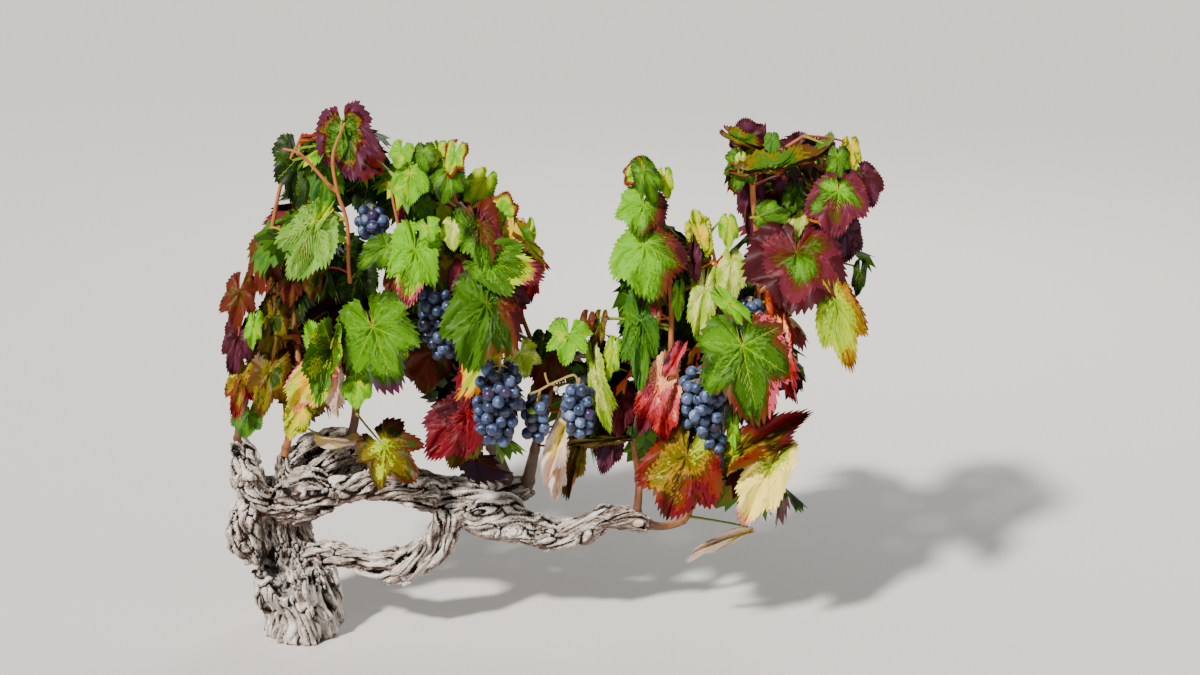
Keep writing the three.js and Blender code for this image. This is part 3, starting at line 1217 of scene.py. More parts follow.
@dataclass(frozen=True)
class Seat:
    """Where a leaf sits: its heart, its side, tip and top directions as rows, and its length to the tip."""

    heart: Array
    axes: Array
    length: float

    def world(self, points: Array) -> Array:
        """Return where points in the leaf's own units are on the vine."""
        return self.heart + points * self.length @ self.axes


@dataclass
class LeafForm:
    """One leaf's outline, curl and colours, in units of the length from its heart to its tip."""

    seed: int
    look: Look
    fine: Fineness
    width: float = 0.0
    fold: float = 0.15
    cup: float = 0.3
    droop: float = 0.3
    wave: float = 0.05
    twist: float = 0.0
    lobes: float = 0.5
    back: float = 1.0
    thickness: float = 0.006

    MAIN_VEINS = (0.0, 52.0, -52.0, 106.0, -106.0, 150.0, -150.0)
    OPENING = 173.0
    TOOTH = 4.2
    QUILT = 0.1
    PLEAT = 0.055
    RIB = 0.0105
    TUCK = 0.5
    SIDE_RIB = 0.5
    RIM_GAP = 0.93
    SMALL = 1e-3
    VEIN_TURNS = 0.42

    def __post_init__(self) -> None:
        """Draw the leaf's own small differences."""
        self.random = np.random.default_rng(self.seed)
        self.phase = self.random.uniform(0, 2 * math.pi, 8)
        self.depth = self.lobes * self.random.uniform(0.8, 1.2)

    def radius(self, turn: Array) -> Array:
        """Work out the outline without its teeth.

        Args:
            turn: turns from the midrib.

        Returns:
            The outline's distance from the heart at each turn.
        """
        degrees = (0, 14, 27, 38, 52, 64, 80, 92, 106, 125, 145, 158, 168, 180)
        full = np.array((1.0, 0.94, 0.89, 0.88, 0.94, 0.89, 0.83, 0.80, 0.80, 0.75, 0.68, 0.62, 0.54, 0.42))
        cut = np.array((0, 0.02, 0.12, 0.20, 0, 0.03, 0.15, 0.14, 0, 0.06, 0.02, 0.0, 0.0, 0.0))
        size = np.interp(np.abs(np.degrees(turn)), degrees, full - cut * self.depth)
        uneven = 0.04 * np.sin(2 * turn + self.phase[0]) + 0.03 * np.sin(3 * turn + self.phase[1])
        behind = np.clip((np.abs(np.degrees(turn)) - 75) / 45, 0, 1)
        return size * (1 + uneven) * (1 + (self.back - 1) * behind)

    def rim(self) -> Array:
        """Draw the toothed rim.

        Returns:
            Its points, from one side of the opening round the tip to the other.
        """
        columns, teeth = self.fine.rings[-1], self.fine.teeth
        end = math.radians(self.OPENING)
        dense = np.linspace(-end, end, 721)
        size = np.convolve(np.pad(self.radius(dense), 6, mode="edge"), np.ones(13) / 13, mode="valid")
        line = np.column_stack([size * np.sin(dense), size * np.cos(dense)])
        run = run_along(line)
        each = columns // teeth
        spot = np.arange(columns + 1) - columns / 2
        phase = (spot / each) % 1.0
        tooth = 1 - 2 * np.minimum(phase, 1 - phase)
        lean = -np.sign(spot) * 0.28 * tooth * run[-1] / teeth
        turn = np.interp(np.linspace(0, run[-1], columns + 1) + lean * (np.abs(spot) > 1), run, dense)
        size = np.interp(turn, dense, size)
        bite = self.random.uniform(0.7, 1.25, columns // each + 2)[np.arange(columns + 1) // each]
        size = size * (1 + (tooth - 0.4) * bite * self.TOOTH / teeth)
        return np.column_stack([size * np.sin(turn), size * np.cos(turn)])

    def bent(self, flat: Array, quilt: Array | float = 0.0) -> Array:
        """Curl flat places into the leaf's shape.

        Args:
            flat: places on the flat leaf.
            quilt: how far each stands up between the veins.

        Returns:
            The places in space, with the top side up.
        """
        x, y = flat[:, 0], flat[:, 1]
        turn, far = np.arctan2(x, y), np.hypot(x, y)
        lift = quilt + self.wave * far**2 * (np.sin(3 * turn + self.phase[2])
                                             + 0.7 * np.sin(5 * turn + self.phase[3]))
        lift = lift + 0.018 * np.sin(7 * x + self.phase[4]) * np.sin(6 * y + self.phase[5])
        lift = lift - self.PLEAT * far * np.cos(turn * 360 / self.MAIN_VEINS[1])
        wide = np.abs(x)
        angle = self.fold * (1 - np.exp(-wide / 0.09)) - self.cup * wide
        out = np.sign(x) * (wide * np.cos(angle) - lift * np.sin(angle))
        rise = wide * np.sin(angle) + lift * np.cos(angle)
        curve = -np.where(y > 0, self.droop / 2, self.TUCK) * y
        ahead = y * np.cos(curve) - rise * np.sin(2 * curve)
        rise = y * np.sin(curve) + rise * np.cos(2 * curve)
        roll = self.twist * y
        return np.column_stack([out * np.cos(roll) + rise * np.sin(roll), ahead,
                                rise * np.cos(roll) - out * np.sin(roll)])

    def veins(self) -> list[tuple[Array, float]]:
        """Draw the main veins, and the side veins that end inside the rim.

        Returns:
            Flat lines, each with its width at the start.
        """
        lines = []
        for number, (degrees, pairs) in enumerate(zip(self.MAIN_VEINS, self.fine.pairs)):
            turn = math.radians(degrees)
            length = float(self.radius(np.array([turn]))[0]) * self.RIM_GAP
            sway = 0.02 * math.sin(self.phase[6] + number)
            t = np.linspace(0.0, 1.0, self.fine.vein_points)
            heading = turn + sway * np.sin(t * math.pi)
            lines.append((np.column_stack([np.sin(heading), np.cos(heading)]) * (t * length)[:, None], 1.0))
            for pair in range(pairs):
                along = 0.16 + 0.74 * pair / pairs
                for hand in (-1, 1):
                    start = np.array([math.sin(turn), math.cos(turn)]) * length * (along + 0.03 * hand)
                    way = turn + hand * math.radians(46 - 6 * along)
                    reach = length * (0.42 - 0.30 * along) * (1.25 if number == 0 else 1.0)
                    t = np.linspace(0, 1, self.fine.side_points)[:, None]
                    hook = way - hand * 0.22 * t
                    line = start + np.hstack([np.sin(hook), np.cos(hook)]) * t * reach
                    far = np.hypot(line[:, 0], line[:, 1])
                    if (far < self.RIM_GAP * self.radius(np.arctan2(line[:, 0], line[:, 1]))).all():
                        lines.append((line, self.SIDE_RIB))
        return lines

    @staticmethod
    def _gap(points: Array, lines: list[tuple[Array, float]]) -> Array:
        """Measure how far points are from the nearest vein.

        Args:
            points: places on the flat leaf.
            lines: the veins.

        Returns:
            A distance for each point.
        """
        starts = np.vstack([line[:-1] for line, _ in lines])
        ends = np.vstack([line[1:] for line, _ in lines])
        run = ends - starts
        t = np.einsum("psk,sk->ps", points[:, None] - starts, run) / np.maximum(np.sum(run**2, axis=1), 1e-9)
        nearest = starts + np.clip(t, 0, 1)[..., None] * run
        return np.min(np.linalg.norm(points[:, None] - nearest, axis=2), axis=1)

    def _normals(self, flat: Array, quilt: Array | float = 0.0) -> Array:
        """Work out the bent leaf's upward directions.

        Args:
            flat: places on the flat leaf.
            quilt: how far each stands up between the veins.

        Returns:
            A direction for each place.
        """
        place = self.bent(flat, quilt)
        return unit(np.cross(self.bent(flat + (self.SMALL, 0), quilt) - place,
                             self.bent(flat + (0, self.SMALL), quilt) - place))

    def build(self, blades: MeshBuffer, ribs: MeshBuffer, seat: Seat) -> None:
        """Add the leaf's blade and veins.

        Args:
            blades: takes the blade.
            ribs: takes the veins.
            seat: where the leaf sits.
        """
        column, ring, twins, top, lower = self.fine.layout
        rim = self.rim()
        far = ring / len(self.fine.rings)
        share = far[:, None] ** 0.92
        plain = rim.copy()
        calm = np.ones(9) / 9
        for k in (0, 1):
            plain[:, k] = np.convolve(np.pad(rim[:, k], 4, mode="edge"), calm, mode="valid")
        toothed = np.clip((share - 0.8) / 0.2, 0, 1)
        flat = (plain[column] * (1 - toothed) + rim[column] * toothed) * share
        lines = self.veins()
        gap = self._gap(flat, lines)
        swell = self.QUILT * self.fine.quilt * (1 - np.exp(-((gap / 0.045) ** 2))) * (1 - far * 0.35)
        surface = self.bent(flat, swell)
        points = np.vstack([surface, surface[twins] - self._normals(flat, swell)[twins] * self.thickness])
        self.stretch = self.width / seat.length / np.ptp(surface[:, 0]) if self.width else 1.0
        points[:, 0] *= self.stretch
        spots = flat[top].mean(axis=1), gap[top].mean(axis=1), ring[top].mean(axis=1) / len(self.fine.rings)
        blades.add(seat.world(points), np.vstack([top, lower]), np.concatenate([
            self._tones(*spots, self.look.ramp, True), self._tones(*spots, self.look.under, False)]))
        self._add_veins(ribs, lines, seat)

    def _tones(self, centre: Array, gap: Array, share: Array, ramp: str, whole: bool) -> Array:
        """Deal the ramp's tones out over the faces.

        Args:
            centre: the faces' middles on the flat leaf.
            gap: their distances from the nearest vein.
            share: how near the rim they are, from 0 to 1.
            ramp: the tones' names.
            whole: whether all of the look counts, or only its mottling.

        Returns:
            A tone number for each face.
        """
        look = self.look
        x, y = -centre[:, 0], centre[:, 1]
        p = self.phase
        mottle = (np.sin(5.1 * x + 3.3 * y + p[1]) + np.sin(-4.0 * x + 6.7 * y + p[3])
                  + np.sin(11 * x + 2 * y + p[5]) * 0.6 + np.sin(3 * x - 12 * y + p[7]) * 0.6) / 3.2
        grain = self.random.uniform(-1, 1, len(centre)) * 0.05
        fleck = np.sin(58 * x + 4 * np.sin(9 * y + p[2])) * np.sin(52 * y + 4 * np.sin(8 * x + p[4]))
        grain += 0.075 * fleck
        spot = look.mottle * mottle + grain
        if whole:
            spot = (spot + look.base + look.edge * share**1.6 + look.side * x
                    + look.tip * np.sign(y) * np.abs(y) ** look.tip_power
                    + look.between * np.clip(gap / 0.07, 0, 1))
        else:
            spot = spot + 0.4
        tones = tone_numbers(ramp)
        return tones[np.clip((spot * len(tones)).astype(int), 0, len(tones) - 1)]

    def _add_veins(self, ribs: MeshBuffer, lines: list[tuple[Array, float]], seat: Seat) -> None:
        """Add the veins as fine closed ridges that stand out on both sides.

        Args:
            ribs: takes them.
            lines: the veins.
            seat: where the leaf sits.
        """
        start = tone_numbers(self.look.vein)[0]
        outer = tone_numbers(self.look.vein_end or self.look.vein)[0]
        for line, weight in lines:
            base = self.bent(line)
            normal = self._normals(line)
            side = unit(np.cross(unit(np.gradient(base, axis=0)), normal))
            taper = np.linspace(1.0, 0.35, len(line))[:, None]
            half = self.RIB * weight**0.6 * taper
            rings = np.stack([base + side * half, base + normal * half * 0.75, base - side * half,
                              base - normal * (half * 1.4 + self.thickness)], axis=1)
            points = rings.reshape(-1, 3)
            last = len(points) - 4
            caps = np.array([(0, 2, 1), (0, 3, 2), (last, last + 1, last + 2), (last, last + 2, last + 3)])
            faces = np.vstack([*bands(len(line), 4), caps])
            points[:, 0] *= self.stretch
            far = np.linalg.norm(points[faces].mean(axis=1), axis=1)
            ribs.add(seat.world(points), faces, np.where(far < self.VEIN_TURNS, start, outer))


@dataclass(frozen=True)
class Leaf:
    """A leaf that the photograph shows, by the pixels of its heart and tip."""

    heart: Pair
    tip: Pair
    width: float
    depth: float
    look: str
    lean: float = 8.0
    roll: float = 0.0
    fold: float = 0.2
    cup: float = 0.35
    droop: float = 0.35
    under: bool = False
    hero: bool = False
    lobes: float = 0.5
    back: float = 1.0

    LEAST_SHOWN = 0.3

    def seat(self) -> tuple[Seat, float]:
        """Work out the leaf's seat from its pixels.

        Returns:
            Its seat and its width.
        """
        heart = CAMERA.at(self.heart, self.depth)
        tip = CAMERA.at(self.tip, self.depth)
        towards = CAMERA.towards()
        screen = tip - heart
        screen = screen - towards * (screen @ towards)
        flat_length = float(np.linalg.norm(screen))
        lean, roll = math.radians(self.lean), math.radians(self.roll)
        forward = unit(screen) * math.cos(lean) + towards * math.sin(lean)
        facing = unit(towards - forward * (towards @ forward))
        side = np.cross(forward, facing)
        facing = facing * math.cos(roll) + side * math.sin(roll)
        if self.under:
            facing = -facing
        side = np.cross(forward, facing)
        scale = flat_length / math.dist(self.heart, self.tip)
        width = self.width * scale / max(math.cos(roll), self.LEAST_SHOWN)
        return Seat(heart, np.array([side, forward, facing]), flat_length / math.cos(lean)), width


SHOWN_LEAVES = (
    Leaf((344, 130), (356, 182), 68, -16, "WINE_GREEN_STAR", 18, 8, hero=True, lobes=0.8),
    Leaf((366, 158), (364, 182), 40, -8, "PINK", 12),
    Leaf((298, 158), (302, 206), 50, 14, "DARK", 10, -20),
    Leaf((324, 166), (324, 216), 44, 8, "TEAL", 8, 10),
    Leaf((368, 176), (366, 214), 54, 22, "DARK"),
    Leaf((315, 221), (297, 281), 62, -56, "PALE_UNDER", 12, 12, under=True, cup=0.1, hero=True,
             back=0.6),
    Leaf((320, 219), (334, 197), 13, -54, "LIME", 5, fold=0.6),
    Leaf((320, 274), (314, 302), 20, -46, "OLIVE_BROWN", 0, 20, fold=0.7),
    Leaf((410, 174), (411, 205), 41, -56, "FRESH", 12, hero=True, lobes=0.3, back=0.6),
    Leaf((402, 150), (398, 168), 26, -50, "FRESH", 12, lobes=0.8),
    Leaf((424, 152), (426, 172), 26, -48, "GREEN", 12, 10),
    Leaf((438, 152), (442, 174), 28, -34, "LIME", 15),
    Leaf((455, 154), (450, 178), 26, -44, "LIME_RED_EDGE", 12, 10, back=1.3),
    Leaf((449, 170), (445, 205), 40, -46, "GREEN", 12, back=0.7),
    Leaf((422, 203), (424, 222), 22, -20, "TEAL", 10),
    Leaf((404, 202), (402, 222), 18, -14, "WINE", 10),
    Leaf((484, 180), (468, 208), 36, 4, "LIME", 12, back=0.7),
    Leaf((428, 227), (434, 242), 28, -72, "FRESH", 12, lobes=1.4, back=1.3),
    Leaf((452, 225), (453, 251), 27, -60, "PALE", 12, back=0.6),
    Leaf((387, 246), (360, 266), 34, -58, "GREEN", 12, 10, back=0.7),
    Leaf((415, 250), (409, 304), 56, -68, "GREEN_PINK_TIP", 14, hero=True, lobes=0.8, back=0.95),
    Leaf((448, 246), (446, 282), 36, -40, "OLIVE_BROWN"),
    Leaf((393, 274), (392, 296), 20, -50, "RED_BROWN"),
    Leaf((358, 276), (350, 306), 44, -30, "DARK", 8, 10),
    Leaf((478, 226), (486, 268), 48, -54, "GREEN_WINE_TOP", 10, -12, fold=0.4, hero=True, back=1.1),
    Leaf((500, 214), (508, 190), 40, -26, "LIME_RED_EDGE", 10, back=1.4),
    Leaf((514, 228), (512, 250), 26, -34, "YELLOW_PINK_EDGE", 10),
    Leaf((528, 238), (532, 216), 16, -30, "LIME", 5, 20),
    Leaf((525, 240), (548, 272), 24, -40, "OLIVE_RED_EDGE", 8, 25, fold=0.5),
    Leaf((536, 276), (530, 304), 22, -44, "CORAL", 5, 30, fold=0.6),
    Leaf((485, 262), (541, 274), 60, -66, "GREEN_YELLOW_TIP", 14, -8, hero=True, lobes=1.0, back=0.6),
    Leaf((487, 304), (471, 374), 84, -80, "GREEN_BROWN_SIDE", 14, hero=True, lobes=0.7),
    Leaf((500, 336), (502, 354), 26, -58, "GREEN"),
    Leaf((463, 262), (466, 302), 22, -44, "WINE", 5, 30, fold=0.6),
    Leaf((373, 327), (398, 388), 88, -76, "GREEN_PURPLE_TIP", 14, 6, hero=True, lobes=0.9, back=0.9),
    Leaf((392, 322), (404, 357), 30, -62, "PALE", 8, 10),
    Leaf((331, 349), (324, 404), 36, -66, "OLIVE_UNDER", 5, 8, under=True, fold=-0.4, hero=True),
    Leaf((322, 350), (308, 322), 30, -60, "FRESH"),
    Leaf((338, 386), (338, 416), 20, -52, "TAN", 5, 30, fold=0.6),
    Leaf((357, 381), (357, 409), 33, -84, "FRESH", 12, fold=0.1, back=0.5),
    Leaf((317, 372), (292, 414), 42, -50, "YELLOW_PINK_EDGE", 8, 12, fold=0.3, hero=True),
    Leaf((356, 350), (352, 382), 30, -40, "RED_BROWN"),
    Leaf((300, 410), (288, 438), 30, -34, "YELLOW_OLIVE", 5, 10),
    Leaf((322, 436), (357, 446), 13, -12, "TAN_PALE", 0, 30, fold=0.7, droop=1.2, back=0.4),
    Leaf((385, 447), (418, 478), 66, -58, "GREEN_STAR_BROWN", 22, -10, hero=True, lobes=1.3),
    Leaf((254, 324), (253, 350), 19, -24, "FRESH", lobes=1.2),
    Leaf((240, 292), (238, 330), 38, -12, "RED_BROWN", lobes=1.3),
    Leaf((264, 256), (262, 296), 38, -8, "RED_BROWN", 8, 10, lobes=1.3),
    Leaf((291, 276), (290, 308), 26, -10, "RED_BROWN"),
    Leaf((274, 318), (268, 362), 36, -2, "OLIVE_BROWN", 8, -10),
    Leaf((238, 336), (234, 374), 34, -4, "PURPLE", lobes=1.3),
    Leaf((242, 376), (238, 418), 34, -14, "OLIVE_RED", lobes=1.3),
    Leaf((270, 372), (262, 414), 42, -22, "OLIVE_BROWN", lobes=1.3),
    Leaf((248, 414), (246, 438), 34, -8, "TEAL"),
    Leaf((284, 350), (276, 390), 30, 12, "RED_BROWN"),
    Leaf((467, 414), (430, 458), 62, -86, "CRIMSON", 12, hero=True, back=0.8),
    Leaf((470, 430), (452, 468), 42, -70, "OLIVE_BROWN"),
    Leaf((482, 364), (458, 404), 36, -64, "YELLOW_RED", 8, 10, fold=0.3),
    Leaf((432, 352), (426, 392), 48, -30, "RED_BROWN"),
    Leaf((520, 352), (524, 377), 40, -50, "PALE_STAR", 10, lobes=1.2, back=0.9),
    Leaf((569, 336), (566, 364), 47, -58, "FRESH", 14, lobes=1.5, hero=True, back=1.2),
    Leaf((543, 340), (541, 360), 24, -32, "DARK"),
    Leaf((549, 356), (542, 396), 44, -14, "RED_BROWN"),
    Leaf((613, 352), (608, 382), 17, -44, "LIME", 8, 25, fold=0.4),
    Leaf((597, 354), (598, 388), 20, -32, "DARK", 8, 20),
    Leaf((600, 324), (597, 350), 16, -30, "OLIVE_BROWN", 4, 24, fold=0.4, lobes=0.2),
    Leaf((597, 374), (608, 430), 22, -56, "PALE", 8, 15, fold=0.3, hero=True),
    Leaf((587, 321), (583, 340), 17, -30, "RED_BROWN", 4, 20, fold=0.4, lobes=0.2),
    Leaf((565, 428), (544, 487), 22, -36, "TAN_PALE", 5, 20, fold=0.5),
    Leaf((560, 462), (556, 499), 20, -30, "TAN", 5, 15, fold=0.5),
    Leaf((580, 440), (566, 496), 24, -14, "OLIVE_BROWN", 5, 15, fold=0.4),
    Leaf((610, 440), (568, 443), 11, -44, "OLIVE_BROWN", 5, 20, fold=0.3),
    Leaf((638, 170), (624, 186), 26, -42, "LIME_RED_EDGE", back=1.2),
    Leaf((644, 171), (654, 202), 30, -50, "GREEN", 10, back=0.9),
    Leaf((665, 178), (668, 200), 18, -30, "LIME"),
    Leaf((643.5, 205.5), (636, 238), 54, -52, "GREEN_BROWN_RIGHT", 14, -6, hero=True, lobes=0.6),
    Leaf((645, 245), (652, 296), 84, -62, "GREEN_BROWN_RIGHT", 14, hero=True, lobes=0.5, back=0.6),
    Leaf((652, 286), (650, 320), 36, -30, "OLIVE_BROWN"),
    Leaf((641, 321), (640, 387), 40, -50, "TEAL", 14, -4, fold=0.2, hero=True, lobes=0.9, back=0.9),
    Leaf((653, 316), (652, 302), 20, -44, "CORAL"),
    Leaf((700, 240), (694, 206), 30, -44, "YELLOW_OLIVE", 5, fold=0.3),
    Leaf((692, 262), (692, 232), 15, -52, "PURPLE", 5, 20, fold=0.7),
    Leaf((728, 222), (727, 250), 22, -36, "LIME", 8, 10, back=0.6),
    Leaf((701, 256), (700, 292), 24, -36, "OLIVE_BROWN"),
    Leaf((704, 290), (697, 342), 30, -56, "PALE", 10),
    Leaf((679, 294), (677, 322), 14, -48, "FRESH"),
    Leaf((731, 262), (730, 306), 32, -42, "PALE_STAR", 8, 10, back=0.6),
    Leaf((752, 184), (748, 236), 31, -26, "PURPLE"),
    Leaf((788, 180), (786, 206), 34, -24, "PURPLE", 12),
    Leaf((793, 192), (791, 214), 24, -34, "GREEN", 12),
    Leaf((759, 217), (790, 215), 33, -60, "GREEN", 10, 8, fold=0.1, back=0.3),
    Leaf((796, 216), (794, 238), 28, -34, "PALE", back=0.6),
    Leaf((747, 138), (744, 118), 42, -20, "PURPLE", 10, fold=0.3),
    Leaf((800, 152), (800, 129), 46, -26, "PURPLE", 10, fold=0.3),
    Leaf((738, 139), (768, 157), 13, -42, "OLIVE_RED_EDGE", 0, 40, fold=0.5, cup=0.8, droop=1.2),
    Leaf((772, 166), (846, 158), 16, -66, "OLIVE_RED_EDGE", 0, 40, fold=0.5, cup=0.9, droop=1.3,
             hero=True),
    Leaf((838, 157), (838, 180), 26, -52, "GREEN"),
    Leaf((851, 148), (852, 172), 20, -40, "YELLOW_OLIVE", 8, 10),
    Leaf((742, 166), (734, 191), 40, -54, "GREEN", 10, lobes=1.2, back=1.2, hero=True),
    Leaf((741, 160), (740, 176), 14, -62, "PALE_STAR", 10, lobes=1.5),
    Leaf((772, 140), (772, 156), 17, -56, "TEAL"),
    Leaf((838.5, 190.5), (832, 237), 68, -74, "PINK_GREEN_HEART", 14, 6, hero=True, back=0.7),
    Leaf((862, 178), (872, 208), 38, -54, "PURPLE", 10),
    Leaf((846, 232), (844, 263), 38, -50, "PURPLE_SHADE", 10),
    Leaf((860, 272), (856, 297), 16, -60, "DARK"),
    Leaf((797, 253), (788, 314), 112, -84, "WINE_GREEN_HEART", 12, hero=True, lobes=0.6, back=0.9),
    Leaf((835, 299), (848, 372), 52, -98, "GREEN_PINK_SIDE", 8, 8, fold=0.2, hero=True, lobes=0.8,
             back=0.5),
    Leaf((780, 314), (786, 366), 24, -46, "RUST", 8, 20, fold=0.5),
    Leaf((728, 303), (752, 330), 20, -66, "FRESH", 6, 10, fold=0.4),
    Leaf((742.7, 346), (754, 418), 100, -92, "GREEN_CORAL_SIDE", 12, hero=True, lobes=0.8, back=0.8),
    Leaf((786, 350), (792, 404), 22, -80, "CORAL", 5, 25, fold=0.7),
    Leaf((677, 357), (664, 382), 15, -60, "PINK", 5, 20, fold=0.7),
    Leaf((660, 384), (636, 434), 32, -68, "CREAM_TO_RED", 8, 10, fold=0.25, cup=0.1, hero=True,
             lobes=0.2),
    Leaf((668, 400), (663, 442), 28, -76, "CORAL", 8, 10, fold=0.25, cup=0.1, hero=True, lobes=0.3),
    Leaf((622, 400), (618, 436), 28, -40, "WINE"),
    Leaf((612, 434), (602, 472), 32, -34, "PURPLE_SHADE"),
    Leaf((733, 456), (812, 410), 40, -66, "OLIVE_RED", 12, -14, fold=0.3, cup=0.1, droop=0.15, lobes=0.2,
             back=0.8),
    Leaf((733, 426), (733, 451), 14, -74, "FRESH"),
    Leaf((771, 466), (740, 520), 48, -80, "CREAM_PINK_TIP", 10, 14, fold=0.3, hero=True),
    Leaf((686.4, 456), (666, 520), 90, -90, "OLIVE_RED", 12, hero=True, lobes=0.7, back=0.7),
    Leaf((748, 533), (681, 553), 10, -40, "TAN_PALE", 0, 30, fold=0.2, cup=0.1, droop=0.6, back=0.2),
)


@dataclass(frozen=True)
class Shoot:
    """This year's cane: it leaves a cane of the frame and grows on through the leaves."""

    name: str
    way: Way


SHOOTS = (
    Shoot("cane_left_arm", (
        (-59, -9, 230, 5), (-54, -6, 262, 5), (-40, 4, 330, 4), (-36, 10, 400, 3.2), (-12, 4, 470, 2.6),
        (6, 10, 540, 2.0), (30, 8, 590, 1.2))),
    Shoot("cane_head_spur", (
        (-7, -4, 216, 4.5), (2, -2, 250, 4.5), (14, 4, 330, 4), (4, 46, 396, 3.2), (20, 80, 460, 2.4),
        (50, 90, 520, 1.4))),
    Shoot("cane_back_head", (
        (62, 43, 214, 6), (72, 37, 250, 5), (80, 20, 330, 2.9), (82, -20, 409, 2.3), (83, -42, 456, 2.2),
        (84.5, -50, 506, 2.1), (75.5, -52, 543, 1.9), (72, -46, 580, 1.8), (84, -30, 612, 1.2))),
    Shoot("cane_back_head", (
        (76, -52, 541, 2.2), (69, -53, 547, 2.0), (39, -54, 582, 1.7), (19, -50, 588, 1.1))),
    Shoot("cane_fruit_left", (
        (252, 36, 162, 8), (240, 34, 194, 8), (229, 28, 232, 7), (222, 10, 290, 5), (204, -12, 350, 4),
        (192, -22, 420, 3.2), (206, -16, 488, 2.4), (196, -12, 540, 1.3))),
    Shoot("cane_fruit_right", (
        (272, 33, 160, 8), (279, 30, 192, 7), (287, 22, 230, 5), (303, 10, 300, 4), (282, 40, 336, 3.0),
        (262, 62, 388, 2.2), (250, 84, 446, 1.3))),
    Shoot("cane_arm_tip", (
        (402, -8, 136, 5.5), (405, -12, 185, 4.4), (400, -14, 240, 4.2), (412, -24, 296, 3.8),
        (436, -42, 344, 3.4), (439, -42, 381, 3.2), (438, -36, 424, 3.0), (428, -26, 470, 2.6),
        (420, -24, 520, 2.0), (410, -30, 562, 1.2))),
    Shoot("cane_low_tip", (
        (408, -7, 132, 6), (436, 2, 124, 4.6), (462, 8, 134, 4.4), (474, 6, 180, 4.4), (496, -4, 236, 4.4),
        (520, -10, 300, 4.2), (534, -14, 372, 3.6), (535, -30, 440, 3.4), (531, -42, 492, 3.2),
        (525.5, -44, 550, 3.0), (540, -40, 572, 2.4), (580, -30, 598, 1.4))),
    Shoot("cane_low_tip", ((524, -44, 548, 2.6), (512, -40, 576, 2.2), (508, -28, 606, 1.3))),
    Shoot("cane_left_arm", (
        (-50, -2, 284, 3.6), (-58, 36, 298, 2.8), (-52, 82, 300, 2.0), (-34, 116, 288, 1.2))),
    Shoot("cane_left_arm", (
        (-46, 0, 306, 3.6), (-58, 26, 352, 2.8), (-40, 60, 410, 2.0), (-10, 86, 440, 1.2))),
    Shoot("cane_back_head", (
        (80, 20, 330, 3.4), (110, 0, 372, 3.0), (132, -24, 424, 2.6), (140, -30, 480, 2.0),
        (132, -26, 540, 1.4), (150, -20, 572, 1.0))),
    Shoot("cane_fruit_left", (
        (205, -10, 345, 3.6), (170, 40, 372, 2.8), (166, 92, 404, 2.2), (176, 120, 450, 1.2))),
    Shoot("cane_fruit_left", (
        (193, -22, 418, 3.0), (222, -26, 452, 2.4), (250, -22, 484, 1.8), (262, -20, 506, 1.0))),
    Shoot("cane_arm_tip", (
        (404, -18, 262, 3.8), (440, -40, 296, 3.0), (486, -52, 320, 2.2), (506, -54, 352, 1.2))),
    Shoot("cane_arm_tip", (
        (438, -36, 424, 2.8), (470, -36, 432, 2.4), (488, -40, 442, 2.2), (480, -34, 490, 1.2))),
    Shoot("cane_arm_tip", ((487, -40, 440, 2.2), (498, -46, 426, 2.0), (505, -50, 412, 1.4))),
    Shoot("cane_low_tip", (
        (508, -8, 268, 4.0), (512, 50, 306, 3.2), (506, 104, 340, 2.4), (516, 120, 404, 1.2))),
    Shoot("cane_low_tip", (
        (536, -24, 420, 3.2), (572, -38, 446, 2.6), (596, -44, 482, 2.0), (604, -40, 520, 1.2))),
    Shoot("cane_low_tip", (
        (474, 5, 186, 5.0), (508, -22, 206, 3.6), (540, -40, 214, 2.6), (562, -48, 236, 1.2))),
)


@dataclass(frozen=True)
class Bunch:
    """One bunch of grapes: the pixels of its top and bottom, its greatest width, and how full it is."""

    top: Pair
    bottom: Pair
    width: float
    depth: float
    berries: int
    dusty: float
    wide_at: float = 0.4


@dataclass(frozen=True)
class Mass:
    """Leaves that fill one of the frame's masses, behind and between those that the photograph shows."""

    node: str
    leaves: int
    looks: str


MASSES = (
    Mass("crown_left_low", 16, "RED_BROWN OLIVE_BROWN WINE DARK OLIVE_RED"),
    Mass("crown_left_mid", 14, "GREEN DARK GREEN_RED_EDGE TEAL"),
    Mass("crown_left_top", 13, "GREEN FRESH GREEN_PINK_TIP LIME"),
    Mass("crown_centre_low", 16, "DARK WINE GREEN TEAL RED_BROWN"),
    Mass("crown_centre_mid", 16, "GREEN FRESH DARK WINE"),
    Mass("crown_centre_top", 12, "GREEN LIME FRESH DARK"),
    Mass("crown_fruit_left", 14, "DARK RED_BROWN GREEN WINE"),
    Mass("crown_gap_low", 9, "DARK FRESH OLIVE_BROWN GREEN"),
    Mass("crown_column", 16, "GREEN LIME LIME_RED_EDGE GREEN_BROWN_SIDE"),
    Mass("crown_right_inner", 15, "RED_BROWN WINE DARK OLIVE_RED"),
    Mass("crown_right_foot", 15, "OLIVE_RED RED_BROWN DARK OLIVE_BROWN"),
    Mass("crown_right_mid", 17, "GREEN DARK GREEN_RED_EDGE RED_BROWN"),
    Mass("crown_right_high", 17, "WINE DARK GREEN PURPLE WINE_GREEN_HEART"),
    Mass("crown_right_top", 14, "PURPLE DARK OLIVE_RED GREEN RED_BROWN"),
    Mass("crown_back_left", 30, "GREEN DARK RED_BROWN GREEN_RED_EDGE WINE"),
    Mass("crown_back_centre", 32, "GREEN DARK LIME GREEN_PINK_TIP WINE"),
    Mass("crown_back_right", 32, "GREEN DARK WINE OLIVE_RED GREEN_RED_EDGE"),
)

